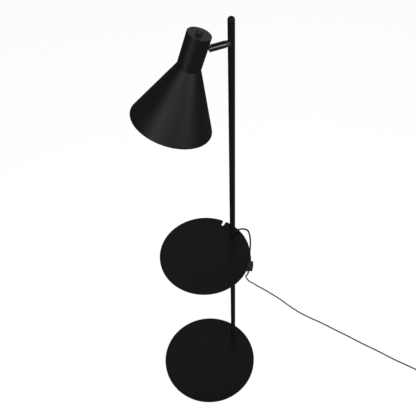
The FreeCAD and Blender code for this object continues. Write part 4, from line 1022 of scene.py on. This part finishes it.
def housing():
    bm = block(-HOUSING_HALF, HOUSING_HALF, Matrix())
    bevel_edges(bm, [edge for edge in bm.edges if rise(edge) > UPRIGHT_RISE], CORNER_ROUND, 7)
    bevel_edges(bm, [edge for edge in bm.edges if is_sharp(edge)], RIM_ROUND, 4)
    whole = as_piece("whole_switch", bm)
    neck_outline = [(0, NECK_START)] + NECK_RINGS + [(0, SWITCH_REACH)]
    for end in (90, -90):
        join_on(whole, spun(neck_outline, turn_about("Y", end), steps=32))
    cut_away(whole, block(WELL_LOW, WELL_HIGH, Matrix()))
    return whole


def half_of(whole, name, side):
    bm = bmesh.new()
    bm.from_mesh(whole.data)
    bmesh.ops.bisect_plane(bm, geom=bm.verts[:] + bm.edges[:] + bm.faces[:], dist=1e-6, plane_co=(0, 0, 0),
                           plane_no=(0, 0, side), clear_outer=True)
    cut = [edge for edge in bm.edges if edge.is_boundary]
    lid = bmesh.ops.triangle_fill(bm, edges=cut, use_dissolve=True)
    faces = [part for part in lid["geom"] if isinstance(part, bmesh.types.BMFace)]
    bmesh.ops.recalc_face_normals(bm, faces=bm.faces)
    line = [edge for edge in bm.edges if len(edge.link_faces) == 2
            and sum(face in faces for face in edge.link_faces) == 1]
    bevel_edges(bm, line, PARTING_EASE, 1)
    bm.transform(switch_frame)
    return as_piece(name, bm)


whole_switch = housing()
front_half = half_of(whole_switch, "switch_front_half", -1)
back_half = half_of(whole_switch, "switch_back_half", 1)
spare = whole_switch.data
bpy.data.objects.remove(whole_switch)
bpy.data.meshes.remove(spare)
for sign in (-1, 1):
    screw_frame = switch_frame @ Matrix.Translation((sign * SCREW_OFFSET, 0, 0))
    cut_away(back_half, rod(HEAD_WAY, HEAD_WAY_LOW, HEAD_WAY_TOP, screw_frame))
dress(front_half, housing_black, "stand", "cord_switch_front_shell")
dress(back_half, housing_black, "stand", "cord_switch_back_shell")

# %% Rocker
ROCKER_AXLE, ROCKER_TOP, ROCKER_DIP, ROCKER_LOW = 0.004, 0.0096, 0.0088, 0.0046
ROCKER_HALF, ROCKER_FOOT, ROCKER_WIDTH, ROCKER_EASE, ROCKER_TIP = 0.009, 0.0074, 0.009, 0.0004, 7


def rocker():
    bm = bmesh.new()
    places = [(-ROCKER_HALF, ROCKER_TOP), (0, ROCKER_DIP), (ROCKER_HALF, ROCKER_TOP),
              (ROCKER_FOOT, ROCKER_LOW), (-ROCKER_FOOT, ROCKER_LOW)]
    face = bm.faces.new([bm.verts.new((x, -ROCKER_WIDTH / 2, z)) for x, z in places])
    pull_up(bm, [face], (0, ROCKER_WIDTH, 0))
    bevel_edges(bm, bm.edges[:], ROCKER_EASE, 3)
    to_axle, from_axle = Matrix.Translation((0, 0, -ROCKER_AXLE)), Matrix.Translation((0, 0, ROCKER_AXLE))
    rest = from_axle @ turn_about("Y", -ROCKER_TIP) @ to_axle
    bm.transform(switch_frame @ rest)
    return bm


rocker_key = as_piece("switch_rocker_key", rocker())
dress(rocker_key, phenolic, "rocker", "cord_switch_rocker")

# %% [markdown]
# ## Plug
#
# The moulded plug is a flat wedge that widens towards its pins, with a ribbed tail that lets the cord bend.
# Its outline is drawn flat with rounded corners, pulled up to its thickness, and its long edges are rounded.

# %% Plug
plug_across = Vector((0, 0, 1)).cross(plug_heading).normalized()
plug_frame = frame_at(plug_start, plug_heading, plug_across, plug_heading.cross(plug_across))
PLUG_HALF, WEDGE_START, WEDGE_END, TAIL_SIDE, PIN_SIDE = 0.00685, 0.024, 0.060, 0.013, 0.0175
WEDGE_ROUND, WEDGE_EASE = 0.004, 0.002
PIN_RADIUS, PIN_OFFSET, PIN_ROOT, PIN_PAST = 0.0015, 0.0095, 0.052, 0.062


def plug_wedge():
    bm = bmesh.new()
    places = [(WEDGE_START, -TAIL_SIDE), (WEDGE_END, -PIN_SIDE), (WEDGE_END, PIN_SIDE),
              (WEDGE_START, TAIL_SIDE)]
    verts = [bm.verts.new((x, y, -PLUG_HALF)) for x, y in places]
    bm.faces.new(verts)
    round_corners(bm, verts, [(index, WEDGE_ROUND, 6) for index in range(4)])
    pull_up(bm, bm.faces[:], (0, 0, 2 * PLUG_HALF))
    bevel_edges(bm, [edge for edge in bm.edges if is_sharp(edge)], WEDGE_EASE, 4)
    return bm


print("plug", round(WEDGE_END * 1000), "mm long")

# %% Plug's ribbed tail, and the whole plug
TAIL_RIBS, FIRST_RIB, RIB_STEP, TAIL_TIP, TAIL_ROOT, TAIL_END = 5, 0.003, 0.004, 0.0031, 0.0045, 0.026
CREST_RADIUS, CREST_SLOPE, VALLEY_RADIUS, VALLEY_SLOPE = 0.0032, 0.12, 0.0026, 0.10
VALLEY_FROM, VALLEY_TO, RIB_END, RIB_FLARE = 0.0003, 0.0012, 0.0015, 0.0001


def tail_outline():
    outline = [(0, 0), (TAIL_TIP, 0)]
    for rib in range(TAIL_RIBS):
        start = FIRST_RIB + RIB_STEP * rib
        crest, valley = CREST_RADIUS + CREST_SLOPE * start, VALLEY_RADIUS + VALLEY_SLOPE * start
        outline += [(crest, start), (valley, start + VALLEY_FROM), (valley, start + VALLEY_TO),
                    (crest + RIB_FLARE, start + RIB_END)]
    return outline + [(TAIL_ROOT, TAIL_END), (0, TAIL_END)]


plug = as_piece("cord_plug", plug_wedge())
join_on(plug, spun(tail_outline(), turn_about("Y", 90), steps=32))
plug.data.transform(plug_frame)
for sign in (-1, 1):
    pin_frame = plug_frame @ Matrix.Translation((0, sign * PIN_OFFSET, 0)) @ turn_about("Y", 90)
    cut_away(plug, rod(PIN_RADIUS, PIN_ROOT, PIN_PAST, pin_frame, steps=24))
dress(plug, moulded_black, "stand", "plug_body")

# %% [markdown]
# ## The cord's finish
#
# Both stretches take the cord's finish. The one from the pole to the switch is 223 mm long, and the one from
# there to the plug, coil included, is 1.77 m.

for cord in (cord_above_switch, cord_below_switch):
    cord.data.materials.append(cord_skin)
